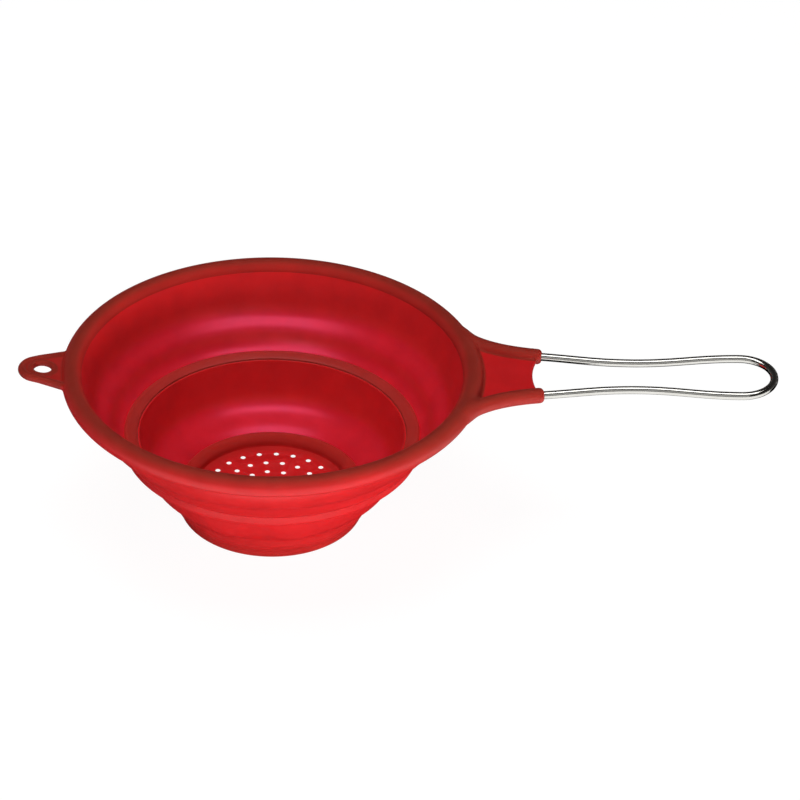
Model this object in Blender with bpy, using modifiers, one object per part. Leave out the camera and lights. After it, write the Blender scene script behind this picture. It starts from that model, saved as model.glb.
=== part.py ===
"""Collapsible silicone colander with a wire loop handle.

The bowl is one silicone moulding in three stiff tiers that thin folds join. The folds turn inside
out when the tiers are pushed up into each other. One polished wire is bent into the loop of the
handle and runs on inside the rim as its hoop.

Lengths are in metres, with +Z up and the handle along +X. The foot stands at z = 0, and the origin
lies under the middle of the whole length.
"""

import math

import bmesh
import bpy
from mathutils import Vector

# Rim and upper tier
RIM_OUTER_RADIUS = 0.1000
RIM_BEAD_RADIUS = 0.0048
WALL_THICKNESS = 0.0020
UPPER_WALL_DROP = 0.0155
UPPER_WALL_TAPER = 0.0054
# Angles about the bead, below its inner side, between which the wall grows out of it
WALL_ROOT_START_DEG = 188.0
WALL_ROOT_END_DEG = 222.0

# Heights between the crests of the stacked rings
RIM_TO_MIDDLE_CREST = 0.0317
MIDDLE_TO_BASE_CREST = 0.0295
BASE_CREST_HEIGHT = 0.0153

# Folds
FOLD_THICKNESS = 0.0012
FIT_GAP = 0.0003

# Middle tier
MIDDLE_RING_RADIUS = 0.0710
MIDDLE_RING_WIDTH = 0.0068
MIDDLE_RING_HEIGHT = 0.0069
MIDDLE_TIER_HEIGHT = 0.0179
MIDDLE_WALL_TAPER = 0.0056

# Base tier with its foot
BASE_RING_RADIUS = 0.0476
BASE_RING_WIDTH = 0.0108
BASE_RING_HEIGHT = 0.0068
FOOT_RADIUS = 0.0442
FOOT_WALL = 0.0062
FOOT_ROUND = 0.0036

# Strainer floor, whose holes widen towards its underside
FLOOR_THICKNESS = 0.0012
FLOOR_DEPTH = 0.0046
HOLE_RADIUS = 0.0012
HOLE_UNDERSIDE_RADIUS = 0.0030
HOLE_RING_SPACING = 0.0076

# Wire: the hoop in the rim, the legs and the loop of the handle
WIRE_RADIUS = 0.0019
WIRE_CHANNEL_GAP = 0.00035
LEG_START_HALF_SPACING = 0.0166
WAIST_HALF_SPACING = 0.0116
LOOP_BEND_RADIUS = 0.0161
HOOP_END_DEG = 26.0

# Distances along the handle, from the outside of the rim
SLEEVE_REACH = 0.0283
WAIST_REACH = 0.0720
LOOP_CENTRE_REACH = 0.1222

# Yoke
SLEEVE_RADIUS = 0.0037
WEB_THICKNESS = 0.0024
WEB_TOP_RISE = 0.0004
WEB_END_SETBACK = 0.0015
WEB_END_HOLLOW = 0.0034

# Hang tab
TAB_REACH = 0.0205
TAB_END_RADIUS = 0.0100
TAB_ROOT_HALF_WIDTH = 0.0155
TAB_PLATE_THICKNESS = 0.0020
TAB_EDGE_RADIUS = 0.0019
TAB_HOLE_RADIUS = 0.0043
TAB_COLLAR_RADIUS = 0.0012

# Angle from the tab's tip to where its round end runs into its sides
TAB_END_ARC_DEG = 62.0

# Overrun of a cutter past the face that it cuts, and the distance under which points are one
CUT_OVERRUN = 0.0003
MERGE_DISTANCE = 0.00001

# Counts
RING_STEPS = 60
BEAD_SIDES = 14
TUBE_RESOLUTION = 2
HOLE_SIDES = 8
HOLE_RING_COUNTS = (6, 12, 18, 23)
ROUND_POINTS = 4
FILLET_POINTS = 9
LEG_POINTS = 8
LOOP_POINTS = 13
TAB_ARC_POINTS = 13
COLLAR_STEPS = 20
COLLAR_SIDES = 8
WEB_ARC_POINTS = 9

# Outlines, as shares chosen by hand of the sizes that they follow
# A ring's outer side from its crest down: share of the width from outside, share of the height.
# A fold lands between the second and the third point.
MIDDLE_RING_OUTER_SHARES = ((0.16, 0.03), (0.13, 0.22), (0.015, 0.325), (0.0, 0.39), (0.0, 0.91), (0.09, 1.0))
BASE_RING_OUTER_SHARES = (
    (0.44, 0.03),
    (0.405, 0.20),
    (0.305, 0.275),
    (0.065, 0.44),
    (0.0, 0.54),
    (0.0, 0.91),
    (0.04, 1.0),
)
# A ring's inner side from its inner edge up to its crest
MIDDLE_RING_INNER_SHARES = ((1.0, 0.485), (0.88, 0.30), (0.65, 0.12), (0.35, 0.0))
BASE_RING_INNER_SHARES = ((1.0, 0.50), (0.90, 0.28), (0.755, 0.10), (0.57, 0.0))
# A fold's inner side: share of the way inward, share of the way down
UPPER_FOLD_SHARES = (
    (0.0, 0.0),
    (0.16, 0.09),
    (0.44, 0.26),
    (0.65, 0.49),
    (0.76, 0.71),
    (0.86, 0.87),
    (1.0, 1.0),
)
LOWER_FOLD_SHARES = (
    (0.0, 0.0),
    (0.13, 0.15),
    (0.38, 0.42),
    (0.56, 0.69),
    (0.70, 0.86),
    (0.82, 0.95),
    (1.0, 1.0),
)
# Neck below the middle ring
NECK_WIDTH_SHARE = 0.353
NECK_HEIGHT_SHARE = 1.10
# How much of its reach each handle of the wire's curves takes
FILLET_START_SHARE = 0.31
FILLET_END_SHARE = 0.47
LEG_HANDLE_SHARE = 0.40
LEG_START_SLOPE_SHARE = -0.13
# First hole of each ring, in degrees
HOLE_RING_PHASES_DEG = (30.0, 8.0, 17.0, 7.6)

# Sizes that follow
RIM_RADIUS = RIM_OUTER_RADIUS - RIM_BEAD_RADIUS
BASE_HEIGHT = BASE_CREST_HEIGHT
MIDDLE_HEIGHT = BASE_HEIGHT + MIDDLE_TO_BASE_CREST
RIM_HEIGHT = MIDDLE_HEIGHT + RIM_TO_MIDDLE_CREST
SLEEVE_END_X = RIM_OUTER_RADIUS + SLEEVE_REACH
WAIST_X = RIM_OUTER_RADIUS + WAIST_REACH
LOOP_CENTRE_X = RIM_OUTER_RADIUS + LOOP_CENTRE_REACH
HANDLE_END_X = LOOP_CENTRE_X + LOOP_BEND_RADIUS + WIRE_RADIUS
TAB_END_X = RIM_OUTER_RADIUS + TAB_REACH
AXIS_X = (TAB_END_X - HANDLE_END_X) / 2
FLOOR_RADIUS = BASE_RING_RADIUS - BASE_RING_WIDTH

SILICONE_RED = (0.46, 0.009, 0.011, 1.0)
STEEL_GREY = (0.62, 0.61, 0.59, 1.0)
SILICONE_ROUGHNESS = 0.38
STEEL_ROUGHNESS = 0.12
SHARP_ANGLE_DEG = 40.0


def clear_scene():
    """Remove every object, so that the script starts from nothing."""
    for item in list(bpy.data.objects):
        bpy.data.objects.remove(item, do_unlink=True)


def make_collection(name):
    collection = bpy.data.collections.new(name)
    bpy.context.scene.collection.children.link(collection)
    return collection


def make_material(name, color, roughness, metallic):
    """Return a Principled material."""
    material = bpy.data.materials.new(name)
    material.use_nodes = True
    shader = material.node_tree.nodes["Principled BSDF"]
    shader.inputs["Base Color"].default_value = color
    shader.inputs["Roughness"].default_value = roughness
    shader.inputs["Metallic"].default_value = metallic
    material.diffuse_color = color
    return material


def silicone(name):
    return make_material(name + "_silicone", SILICONE_RED, SILICONE_ROUGHNESS, 0.0)


def add_object(name, data, collection, parent, location, material):
    """Link a new object at its place under its parent."""
    item = bpy.data.objects.new(name, data)
    collection.objects.link(item)
    item.parent = parent
    item.location = location
    if material is not None:
        item.data.materials.append(material)
    return item


def mark_cutter(item):
    item.hide_render = True
    item.display_type = "WIRE"
    return item


def add_boolean(item, cutter, operation):
    modifier = item.modifiers.new(operation.title() + " " + cutter.name, "BOOLEAN")
    modifier.operation = operation
    modifier.solver = "EXACT"
    modifier.object = cutter
    return modifier


def smooth(item):
    item.data.shade_smooth()
    item.data.set_sharp_from_angle(angle=math.radians(SHARP_ANGLE_DEG))


def loop_mesh(name, points):
    """Return a mesh of one closed loop of (radius, height) points in the XZ plane."""
    mesh = bpy.data.meshes.new(name)
    shape = bmesh.new()
    corners = [shape.verts.new((radius, 0.0, height)) for radius, height in points]
    for index, corner in enumerate(corners):
        shape.edges.new((corner, corners[(index + 1) % len(corners)]))
    shape.to_mesh(mesh)
    shape.free()
    return mesh


def turned(name, points, collection, parent, location, material):
    """Return a turned body. The points run down its outer side and back up its inner side."""
    item = add_object(name, loop_mesh(name, points), collection, parent, location, material)
    screw = item.modifiers.new("Turn", "SCREW")
    screw.axis = "Z"
    screw.steps = RING_STEPS
    screw.render_steps = RING_STEPS
    screw.use_merge_vertices = True
    screw.merge_threshold = MERGE_DISTANCE
    screw.use_smooth_shade = True
    return item


def arc(centre, radius, start_deg, end_deg, count):
    """Return points along an arc, both ends included."""
    points = []
    for index in range(count):
        angle = math.radians(start_deg + (end_deg - start_deg) * index / (count - 1))
        points.append((centre[0] + radius * math.cos(angle), centre[1] + radius * math.sin(angle)))
    return points


def bezier(start, start_handle, end_handle, end, count):
    """Return points along a cubic curve, without its last point."""
    points = []
    for index in range(count):
        t = index / count
        s = 1 - t
        weights = (s ** 3, 3 * s * s * t, 3 * s * t * t, t ** 3)
        corners = (start, start_handle, end_handle, end)
        points.append(tuple(sum(w * c[axis] for w, c in zip(weights, corners)) for axis in (0, 1)))
    return points


def poly_curve(name, points, bevel, cyclic):
    """Return a round tube along a flat route."""
    curve = bpy.data.curves.new(name, "CURVE")
    curve.dimensions = "3D"
    curve.twist_mode = "Z_UP"
    curve.bevel_depth = bevel
    curve.bevel_resolution = TUBE_RESOLUTION
    curve.use_fill_caps = not cyclic
    spline = curve.splines.new("POLY")
    spline.points.add(len(points) - 1)
    for target, (x, y) in zip(spline.points, points):
        target.co = (x, y, 0.0, 1.0)
    spline.use_cyclic_u = cyclic
    return curve


def flat_curve(name, outlines, thickness):
    """Return a plate with the given outlines, the first outside and the others holes."""
    curve = bpy.data.curves.new(name, "CURVE")
    curve.dimensions = "2D"
    curve.fill_mode = "BOTH"
    curve.extrude = thickness / 2
    for outline in outlines:
        spline = curve.splines.new("POLY")
        spline.points.add(len(outline) - 1)
        for target, (x, y) in zip(spline.points, outline):
            target.co = (x, y, 0.0, 1.0)
        spline.use_cyclic_u = True
    return curve


def curve_to_mesh_object(item, collection):
    """Replace a curve object with a mesh object of the same name and place."""
    bpy.context.view_layer.update()
    graph = bpy.context.evaluated_depsgraph_get()
    mesh = bpy.data.meshes.new_from_object(item.evaluated_get(graph))
    shape = bmesh.new()
    shape.from_mesh(mesh)
    bmesh.ops.remove_doubles(shape, verts=shape.verts, dist=MERGE_DISTANCE)
    bmesh.ops.recalc_face_normals(shape, faces=shape.faces)
    shape.to_mesh(mesh)
    shape.free()
    name = item.name
    parent = item.parent
    location = item.location.copy()
    bpy.data.objects.remove(item, do_unlink=True)
    result = bpy.data.objects.new(name, mesh)
    collection.objects.link(result)
    result.parent = parent
    result.location = location
    return result


def offset_side(points, thickness):
    """Return the points moved outward by a wall's thickness, square to the line that they draw."""
    moved = []
    for index, point in enumerate(points):
        before = Vector(points[max(index - 1, 0)])
        after = Vector(points[min(index + 1, len(points) - 1)])
        along = (after - before).normalized()
        moved.append((point[0] - along.y * thickness, point[1] + along.x * thickness))
    return moved


def ring_points(shares, radius, width, height, crest):
    """Return points of a ring's section from shares of its width and height."""
    return [(radius - width * across, crest - height * down) for across, down in shares]


def middle_ring(shares, crest):
    """Return points of the middle ring's section, with its crest at the given height."""
    return ring_points(shares, MIDDLE_RING_RADIUS, MIDDLE_RING_WIDTH, MIDDLE_RING_HEIGHT, crest)


def base_ring(shares, crest):
    """Return points of the base ring's section, with its crest at the given height."""
    return ring_points(shares, BASE_RING_RADIUS, BASE_RING_WIDTH, BASE_RING_HEIGHT, crest)


def fold_seat(ring):
    """Return both corners of a fold's lower end, a small gap off the ring's shoulder."""
    inner, outer = (Vector(point) for point in ring[1:3])
    along = (outer - inner).normalized()
    away = Vector((-along.y, along.x)) * FIT_GAP
    inner_corner = inner + away + Vector((FIT_GAP, 0.0))
    return tuple(inner_corner), tuple(outer + away)


def fold_points(start, seat, shares):
    """Return the closed section of a fold from the wall above it to its seat on the ring below."""
    inner_seat, outer_seat = seat
    inner = []
    for inward, down in shares:
        radius = start[0] + (inner_seat[0] - start[0]) * inward
        height = start[1] + (inner_seat[1] - start[1]) * down
        inner.append((radius, height))
    outer = offset_side(inner, FOLD_THICKNESS)
    outer[0] = (start[0] + FOLD_THICKNESS, start[1])
    outer[-1] = outer_seat
    return outer + inner[::-1]


def upper_wall_end():
    """Return the inner corner of the upper wall's lower edge, from the rim's centre."""
    return RIM_RADIUS - RIM_BEAD_RADIUS - UPPER_WALL_TAPER, -UPPER_WALL_DROP


def middle_wall_end():
    """Return the inner corner of the middle wall's lower edge, from the middle crest."""
    inner_edge = MIDDLE_RING_RADIUS - MIDDLE_RING_WIDTH
    return inner_edge - MIDDLE_WALL_TAPER, -MIDDLE_TIER_HEIGHT


def wire_route():
    """Return the closed route of the wire: hoop, fillets, legs and loop, from the bowl's axis."""
    slope = Vector((1.0, LEG_START_SLOPE_SHARE)).normalized()
    hoop_angle = math.radians(HOOP_END_DEG)
    leave = Vector((RIM_RADIUS * math.cos(hoop_angle), RIM_RADIUS * math.sin(hoop_angle)))
    leave_along = Vector((math.sin(hoop_angle), -math.cos(hoop_angle)))
    leg = Vector((SLEEVE_END_X, LEG_START_HALF_SPACING))
    waist = Vector((WAIST_X, WAIST_HALF_SPACING))
    bend = Vector((LOOP_CENTRE_X, LOOP_BEND_RADIUS))
    reach = (leg - leave).length
    fillet = bezier(
        leave,
        leave + leave_along * reach * FILLET_START_SHARE,
        leg - slope * reach * FILLET_END_SHARE,
        leg,
        FILLET_POINTS,
    )
    near = (waist.x - leg.x) * LEG_HANDLE_SHARE
    far = (bend.x - waist.x) * LEG_HANDLE_SHARE
    first = bezier(leg, leg + slope * near, waist - Vector((near, 0.0)), waist, LEG_POINTS)
    second = bezier(waist, waist + Vector((far, 0.0)), bend - Vector((far, 0.0)), bend, LEG_POINTS)
    upper = fillet + first + second
    lower = [(x, -y) for x, y in upper][::-1]
    loop = arc((LOOP_CENTRE_X, 0.0), LOOP_BEND_RADIUS, 90.0, -90.0, LOOP_POINTS)
    step = 360.0 / RING_STEPS
    first_step = math.floor(HOOP_END_DEG / step) + 1
    hoop = []
    for index in range(RING_STEPS - first_step, first_step - 1, -1):
        angle = math.radians(index * step)
        hoop.append((RIM_RADIUS * math.cos(angle), RIM_RADIUS * math.sin(angle)))
    return upper + loop + lower + hoop, fillet


def bead_loop(radius):
    """Return a round section about the rim's centre line, running down its outer side."""
    points = []
    for index in range(BEAD_SIDES):
        angle = math.radians(90.0 - 360.0 * index / BEAD_SIDES)
        points.append((RIM_RADIUS + radius * math.cos(angle), radius * math.sin(angle)))
    return points


def make_rim_bead(parts, frame, height, channel):
    """The thick round rim, hollow where the hoop runs."""
    item = turned("rim_bead", bead_loop(RIM_BEAD_RADIUS), parts, frame, height, silicone("rim_bead"))
    add_boolean(item, channel, "DIFFERENCE")
    return item


def make_upper_wall(parts, frame, height):
    """The upper wall, which grows out of the bead's underside."""
    root = arc(
        (RIM_RADIUS, 0.0),
        RIM_BEAD_RADIUS + FIT_GAP,
        WALL_ROOT_START_DEG,
        WALL_ROOT_END_DEG,
        ROUND_POINTS,
    )
    end_radius, end_height = upper_wall_end()
    outer_end = (end_radius + WALL_THICKNESS, end_height)
    points = [root[-1], outer_end, (end_radius, end_height)] + root[:-1]
    return turned("upper_wall", points, parts, frame, height, silicone("upper_wall"))


def make_upper_fold(parts, frame, height):
    """The thin fold between the upper wall and the middle ring."""
    end_radius, end_height = upper_wall_end()
    seat = fold_seat(middle_ring(MIDDLE_RING_OUTER_SHARES, -RIM_TO_MIDDLE_CREST))
    points = fold_points((end_radius, end_height - FIT_GAP), seat, UPPER_FOLD_SHARES)
    return turned("upper_fold", points, parts, frame, height, silicone("upper_fold"))


def make_middle_tier(parts, frame, height):
    """The middle ring and the wall that hangs from its inner half."""
    outer = middle_ring(MIDDLE_RING_OUTER_SHARES, 0.0)
    neck = middle_ring([(NECK_WIDTH_SHARE, NECK_HEIGHT_SHARE)], 0.0)
    inner = middle_ring(MIDDLE_RING_INNER_SHARES, 0.0)
    end_radius, end_height = middle_wall_end()
    end = [(end_radius + WALL_THICKNESS, end_height), (end_radius, end_height)]
    return turned("middle_tier", outer + neck + end + inner, parts, frame, height, silicone("middle_tier"))


def make_lower_fold(parts, frame, height):
    """The thin fold between the middle wall and the base ring."""
    end_radius, end_height = middle_wall_end()
    seat = fold_seat(base_ring(BASE_RING_OUTER_SHARES, -MIDDLE_TO_BASE_CREST))
    points = fold_points((end_radius, end_height - FIT_GAP), seat, LOWER_FOLD_SHARES)
    return turned("lower_fold", points, parts, frame, height, silicone("lower_fold"))


def make_base_tier(parts, frame, height):
    """The base ring with the foot under it. The floor closes its bore."""
    outer = base_ring(BASE_RING_OUTER_SHARES, BASE_CREST_HEIGHT)
    inner = base_ring(BASE_RING_INNER_SHARES, BASE_CREST_HEIGHT)
    foot_inner = FOOT_RADIUS - FOOT_WALL
    foot_round = arc((FOOT_RADIUS - FOOT_ROUND, FOOT_ROUND), FOOT_ROUND, 0.0, -90.0, ROUND_POINTS)
    floor_bottom = BASE_CREST_HEIGHT - FLOOR_DEPTH - FLOOR_THICKNESS
    bore = [(foot_inner, 0.0), (foot_inner, floor_bottom), (FLOOR_RADIUS, floor_bottom)]
    points = outer + foot_round + bore + inner
    return turned("base_tier", points, parts, frame, height, silicone("base_tier"))


def make_strainer_floor(parts, cutters, frame, height):
    """The floor, with round holes in rings about a hole in the middle."""
    mesh = bpy.data.meshes.new("strainer_floor")
    shape = bmesh.new()
    radius = FLOOR_RADIUS - FIT_GAP
    bmesh.ops.create_cone(
        shape,
        cap_ends=True,
        segments=RING_STEPS,
        radius1=radius,
        radius2=radius,
        depth=FLOOR_THICKNESS,
    )
    shape.to_mesh(mesh)
    shape.free()
    item = add_object("strainer_floor", mesh, parts, frame, height, silicone("strainer_floor"))
    places = [(0.0, 0.0)]
    ring_radius = HOLE_RING_SPACING
    for count, phase in zip(HOLE_RING_COUNTS, HOLE_RING_PHASES_DEG):
        if ring_radius + HOLE_UNDERSIDE_RADIUS < radius:
            places += arc((0.0, 0.0), ring_radius, phase, phase + 360.0, count + 1)[:-1]
        ring_radius += HOLE_RING_SPACING
    drill = bpy.data.meshes.new("hole_drills")
    shape = bmesh.new()
    widening = (HOLE_UNDERSIDE_RADIUS - HOLE_RADIUS) * CUT_OVERRUN / FLOOR_THICKNESS
    for x, y in places:
        made = bmesh.ops.create_cone(
            shape,
            cap_ends=True,
            segments=HOLE_SIDES,
            radius1=HOLE_UNDERSIDE_RADIUS + widening,
            radius2=HOLE_RADIUS - widening,
            depth=FLOOR_THICKNESS + 2 * CUT_OVERRUN,
        )
        bmesh.ops.translate(shape, verts=made["verts"], vec=(x, y, 0.0))
    shape.to_mesh(drill)
    shape.free()
    cutter = mark_cutter(add_object("hole_drills", drill, cutters, frame, height, None))
    add_boolean(item, cutter, "DIFFERENCE")
    return item


def make_wire_frame(parts, frame, height, route):
    """The one wire of the handle's loop and the rim's hoop."""
    steel = make_material("wire_steel", STEEL_GREY, STEEL_ROUGHNESS, 1.0)
    curve = poly_curve("wire_frame", route, WIRE_RADIUS, True)
    return add_object("wire_frame", curve, parts, frame, height, steel)


def make_wire_channel(cutters, frame, height, route):
    """The cutter of the channel that the wire lies in."""
    curve = poly_curve("wire_channel", route, WIRE_RADIUS + WIRE_CHANNEL_GAP, True)
    item = add_object("wire_channel", curve, cutters, frame, height, None)
    return mark_cutter(curve_to_mesh_object(item, cutters))


def make_bead_clearance(cutters, frame, height):
    """The cutter that keeps the yoke and the tab a small gap off the bead."""
    points = bead_loop(RIM_BEAD_RADIUS + FIT_GAP)
    return mark_cutter(turned("bead_clearance", points, cutters, frame, height, None))


def make_yoke(parts, cutters, frame, height, fillet, bead_clearance, channel):
    """The yoke: two sleeves round the wire's legs and the web between them."""
    hoop_angle = math.radians(HOOP_END_DEG)
    inside = (RIM_RADIUS * math.cos(hoop_angle), RIM_RADIUS * math.sin(hoop_angle))
    sleeve_route = [inside] + fillet[1:] + [(SLEEVE_END_X, LEG_START_HALF_SPACING)]
    curve = poly_curve("handle_yoke", sleeve_route, SLEEVE_RADIUS, False)
    item = add_object("handle_yoke", curve, parts, frame, height, None)
    yoke = curve_to_mesh_object(item, parts)
    yoke.data.materials.append(silicone("handle_yoke"))
    mirrored_route = [(x, -y) for x, y in sleeve_route]
    curve = poly_curve("second_sleeve", mirrored_route, SLEEVE_RADIUS, False)
    item = add_object("second_sleeve", curve, cutters, frame, height, None)
    second = mark_cutter(curve_to_mesh_object(item, cutters))
    web_end = SLEEVE_END_X - WEB_END_SETBACK
    web_side = [(x, y) for x, y in sleeve_route if x < web_end]
    half_chord = LEG_START_HALF_SPACING
    bow_radius = (half_chord ** 2 + WEB_END_HOLLOW ** 2) / (2 * WEB_END_HOLLOW)
    bow_centre = (web_end - WEB_END_HOLLOW + bow_radius, 0.0)
    half_angle = math.degrees(math.asin(half_chord / bow_radius))
    bow = arc(bow_centre, bow_radius, 180.0 - half_angle, 180.0 + half_angle, WEB_ARC_POINTS)
    inner_side = arc((0.0, 0.0), RIM_RADIUS, -HOOP_END_DEG, HOOP_END_DEG, WEB_ARC_POINTS)[1:-1]
    outline = web_side + bow + [(x, -y) for x, y in web_side][::-1] + inner_side
    web_curve = flat_curve("web", [outline], WEB_THICKNESS)
    web_height = (height[0], height[1], height[2] + WEB_TOP_RISE - WEB_THICKNESS / 2)
    item = add_object("web", web_curve, cutters, frame, web_height, None)
    web = mark_cutter(curve_to_mesh_object(item, cutters))
    add_boolean(yoke, web, "UNION")
    add_boolean(yoke, second, "UNION")
    add_boolean(yoke, bead_clearance, "DIFFERENCE")
    add_boolean(yoke, channel, "DIFFERENCE")
    return yoke


def make_hang_tab(parts, cutters, frame, height, bead_clearance):
    """The hang tab: a thin plate with a round edge and a collar round its hole."""
    centre_x = -(TAB_END_X - TAB_END_RADIUS)
    root_x = -RIM_RADIUS
    end_arc = arc(
        (centre_x, 0.0),
        TAB_END_RADIUS - TAB_EDGE_RADIUS,
        180.0 - TAB_END_ARC_DEG,
        180.0 + TAB_END_ARC_DEG,
        TAB_ARC_POINTS,
    )
    root = TAB_ROOT_HALF_WIDTH - TAB_EDGE_RADIUS
    edge_route = [(root_x, root)] + end_arc + [(root_x, -root)]
    hole = arc((centre_x, 0.0), TAB_HOLE_RADIUS, 0.0, 360.0, COLLAR_STEPS + 1)[:-1]
    curve = flat_curve("hang_tab", [edge_route, hole], TAB_PLATE_THICKNESS)
    item = add_object("hang_tab", curve, parts, frame, height, None)
    tab = curve_to_mesh_object(item, parts)
    tab.data.materials.append(silicone("hang_tab"))
    edge_curve = poly_curve("tab_edge", edge_route, TAB_EDGE_RADIUS, False)
    item = add_object("tab_edge", edge_curve, cutters, frame, height, None)
    edge = mark_cutter(curve_to_mesh_object(item, cutters))
    collar_loop = []
    collar_centre = TAB_HOLE_RADIUS + TAB_COLLAR_RADIUS
    for index in range(COLLAR_SIDES):
        angle = math.radians(90.0 - 360.0 * index / COLLAR_SIDES)
        radius = collar_centre + TAB_COLLAR_RADIUS * math.cos(angle)
        collar_loop.append((radius, TAB_COLLAR_RADIUS * math.sin(angle)))
    place = (height[0] + centre_x, height[1], height[2])
    collar = mark_cutter(turned("tab_collar", collar_loop, cutters, frame, place, None))
    collar.modifiers["Turn"].steps = COLLAR_STEPS
    collar.modifiers["Turn"].render_steps = COLLAR_STEPS
    add_boolean(tab, edge, "UNION")
    add_boolean(tab, collar, "UNION")
    add_boolean(tab, bead_clearance, "DIFFERENCE")
    return tab


def main():
    clear_scene()
    parts = make_collection("silicone_colander")
    cutters = make_collection("cutters")
    frame = bpy.data.objects.new("bowl_axis", None)
    frame.location = (AXIS_X, 0.0, 0.0)
    parts.objects.link(frame)
    rim = (0.0, 0.0, RIM_HEIGHT)
    middle = (0.0, 0.0, MIDDLE_HEIGHT)
    ground = (0.0, 0.0, 0.0)
    route, fillet = wire_route()
    channel = make_wire_channel(cutters, frame, rim, route)
    clearance = make_bead_clearance(cutters, frame, rim)
    make_wire_frame(parts, frame, rim, route)
    smooth(make_rim_bead(parts, frame, rim, channel))
    smooth(make_yoke(parts, cutters, frame, rim, fillet, clearance, channel))
    smooth(make_hang_tab(parts, cutters, frame, rim, clearance))
    smooth(make_upper_wall(parts, frame, rim))
    smooth(make_upper_fold(parts, frame, rim))
    smooth(make_middle_tier(parts, frame, middle))
    smooth(make_lower_fold(parts, frame, middle))
    smooth(make_base_tier(parts, frame, ground))
    floor_middle = BASE_CREST_HEIGHT - FLOOR_DEPTH - FLOOR_THICKNESS / 2
    smooth(make_strainer_floor(parts, cutters, frame, (0.0, 0.0, floor_middle)))
    bpy.context.view_layer.update()


main()
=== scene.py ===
"""Looks of a collapsible silicone colander with a wire loop handle.

Every piece is drawn in millimetres about the bowl's axis, with the handle along +X and the height
of the rim's centre line as zero, and is then set into the frame's metres by Placement.
"""

import logging
import math
from dataclasses import dataclass
from enum import Enum

import bmesh
import bpy
import numpy as np
from mathutils import Matrix, Vector


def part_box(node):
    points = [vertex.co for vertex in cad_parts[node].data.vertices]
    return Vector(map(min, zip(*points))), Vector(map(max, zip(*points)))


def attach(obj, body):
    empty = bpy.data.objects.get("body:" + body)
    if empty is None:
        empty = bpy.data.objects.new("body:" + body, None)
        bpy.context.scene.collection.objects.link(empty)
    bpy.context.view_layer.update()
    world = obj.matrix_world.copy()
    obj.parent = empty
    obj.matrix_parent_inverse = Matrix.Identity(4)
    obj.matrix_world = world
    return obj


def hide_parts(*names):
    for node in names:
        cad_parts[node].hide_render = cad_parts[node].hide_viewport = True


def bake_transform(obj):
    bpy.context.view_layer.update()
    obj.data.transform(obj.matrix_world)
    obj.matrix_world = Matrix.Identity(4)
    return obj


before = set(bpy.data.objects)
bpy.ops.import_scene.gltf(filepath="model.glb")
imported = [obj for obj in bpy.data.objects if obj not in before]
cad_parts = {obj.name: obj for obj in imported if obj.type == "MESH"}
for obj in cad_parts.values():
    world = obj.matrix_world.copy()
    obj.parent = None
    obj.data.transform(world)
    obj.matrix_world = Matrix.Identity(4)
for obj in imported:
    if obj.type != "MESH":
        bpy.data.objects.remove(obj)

LOG = logging.getLogger("colander")
MM = 0.001
SAME_POINT_MM = 1e-6
# Depth of the silicone at each corner, which also carries painted shade and painted highlight.
DEPTH_AND_SHADE_ATTRIBUTE = "silicone_depth_and_painted_shade"
ALONG_ATTRIBUTE = "wire_along"
AROUND_ATTRIBUTE = "wire_around"

# A Mix node has several sockets of one name, so its colour sockets go by their numbers.
COLOUR_A, COLOUR_B, COLOUR_RESULT = 6, 7, 2

# Noise seldom leaves this middle part of its range, which is spread over the whole result.
NOISE_MIDDLE = {"From Min": 0.3, "From Max": 0.7}


class Body(Enum):
    """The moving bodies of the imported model."""

    RIM = "rim"
    MIDDLE = "middle"
    BASE = "base"


class Slot(Enum):
    """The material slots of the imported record."""

    SILICONE = "silicone"
    STEEL_WIRE = "steel_wire"


def linear(code: str) -> tuple[float, float, float, float]:
    """Turn an sRGB hex colour into linear light.

    Args:
        code: The colour, written as #rrggbb.

    Returns:
        The linear red, green and blue, and an alpha of one.
    """
    shares = [int(code[place : place + 2], 16) / 255.0 for place in (1, 3, 5)]
    light = [((s + 0.055) / 1.055) ** 2.4 if s > 0.04045 else s / 12.92 for s in shares]
    return (light[0], light[1], light[2], 1.0)


def add_node(
    tree: bpy.types.NodeTree, kind: str, inputs: dict | None = None, **settings: object
) -> bpy.types.Node:
    """Add a shader node with its settings, constants and links.

    Args:
        tree: The node tree that takes the node.
        kind: The node's type name, after ShaderNode.
        inputs: Input sockets, by name or number, each with its constant, the output that feeds
            it, or a node that feeds it from its first output.
        settings: Attributes of the node and their values.

    Returns:
        The new node.
    """
    node = tree.nodes.new("ShaderNode" + kind)
    for name, value in settings.items():
        setattr(node, name, value)
    for socket, source in (inputs or {}).items():
        if isinstance(source, bpy.types.Node):
            source = source.outputs[0]
        if isinstance(source, bpy.types.NodeSocket):
            tree.links.new(source, node.inputs[socket])
        else:
            node.inputs[socket].default_value = source
    return node


def new_material(
    name: str,
) -> tuple[bpy.types.Material, bpy.types.NodeTree, bpy.types.NodeSocket]:
    """Make a node material that has only its coordinates so far.

    Args:
        name: The material's name.

    Returns:
        The material, its node tree and the output of the object's own coordinates.
    """
    material = bpy.data.materials.new(name)
    material.use_nodes = True
    tree = material.node_tree
    tree.nodes.clear()
    return material, tree, add_node(tree, "TexCoord").outputs["Object"]


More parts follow.
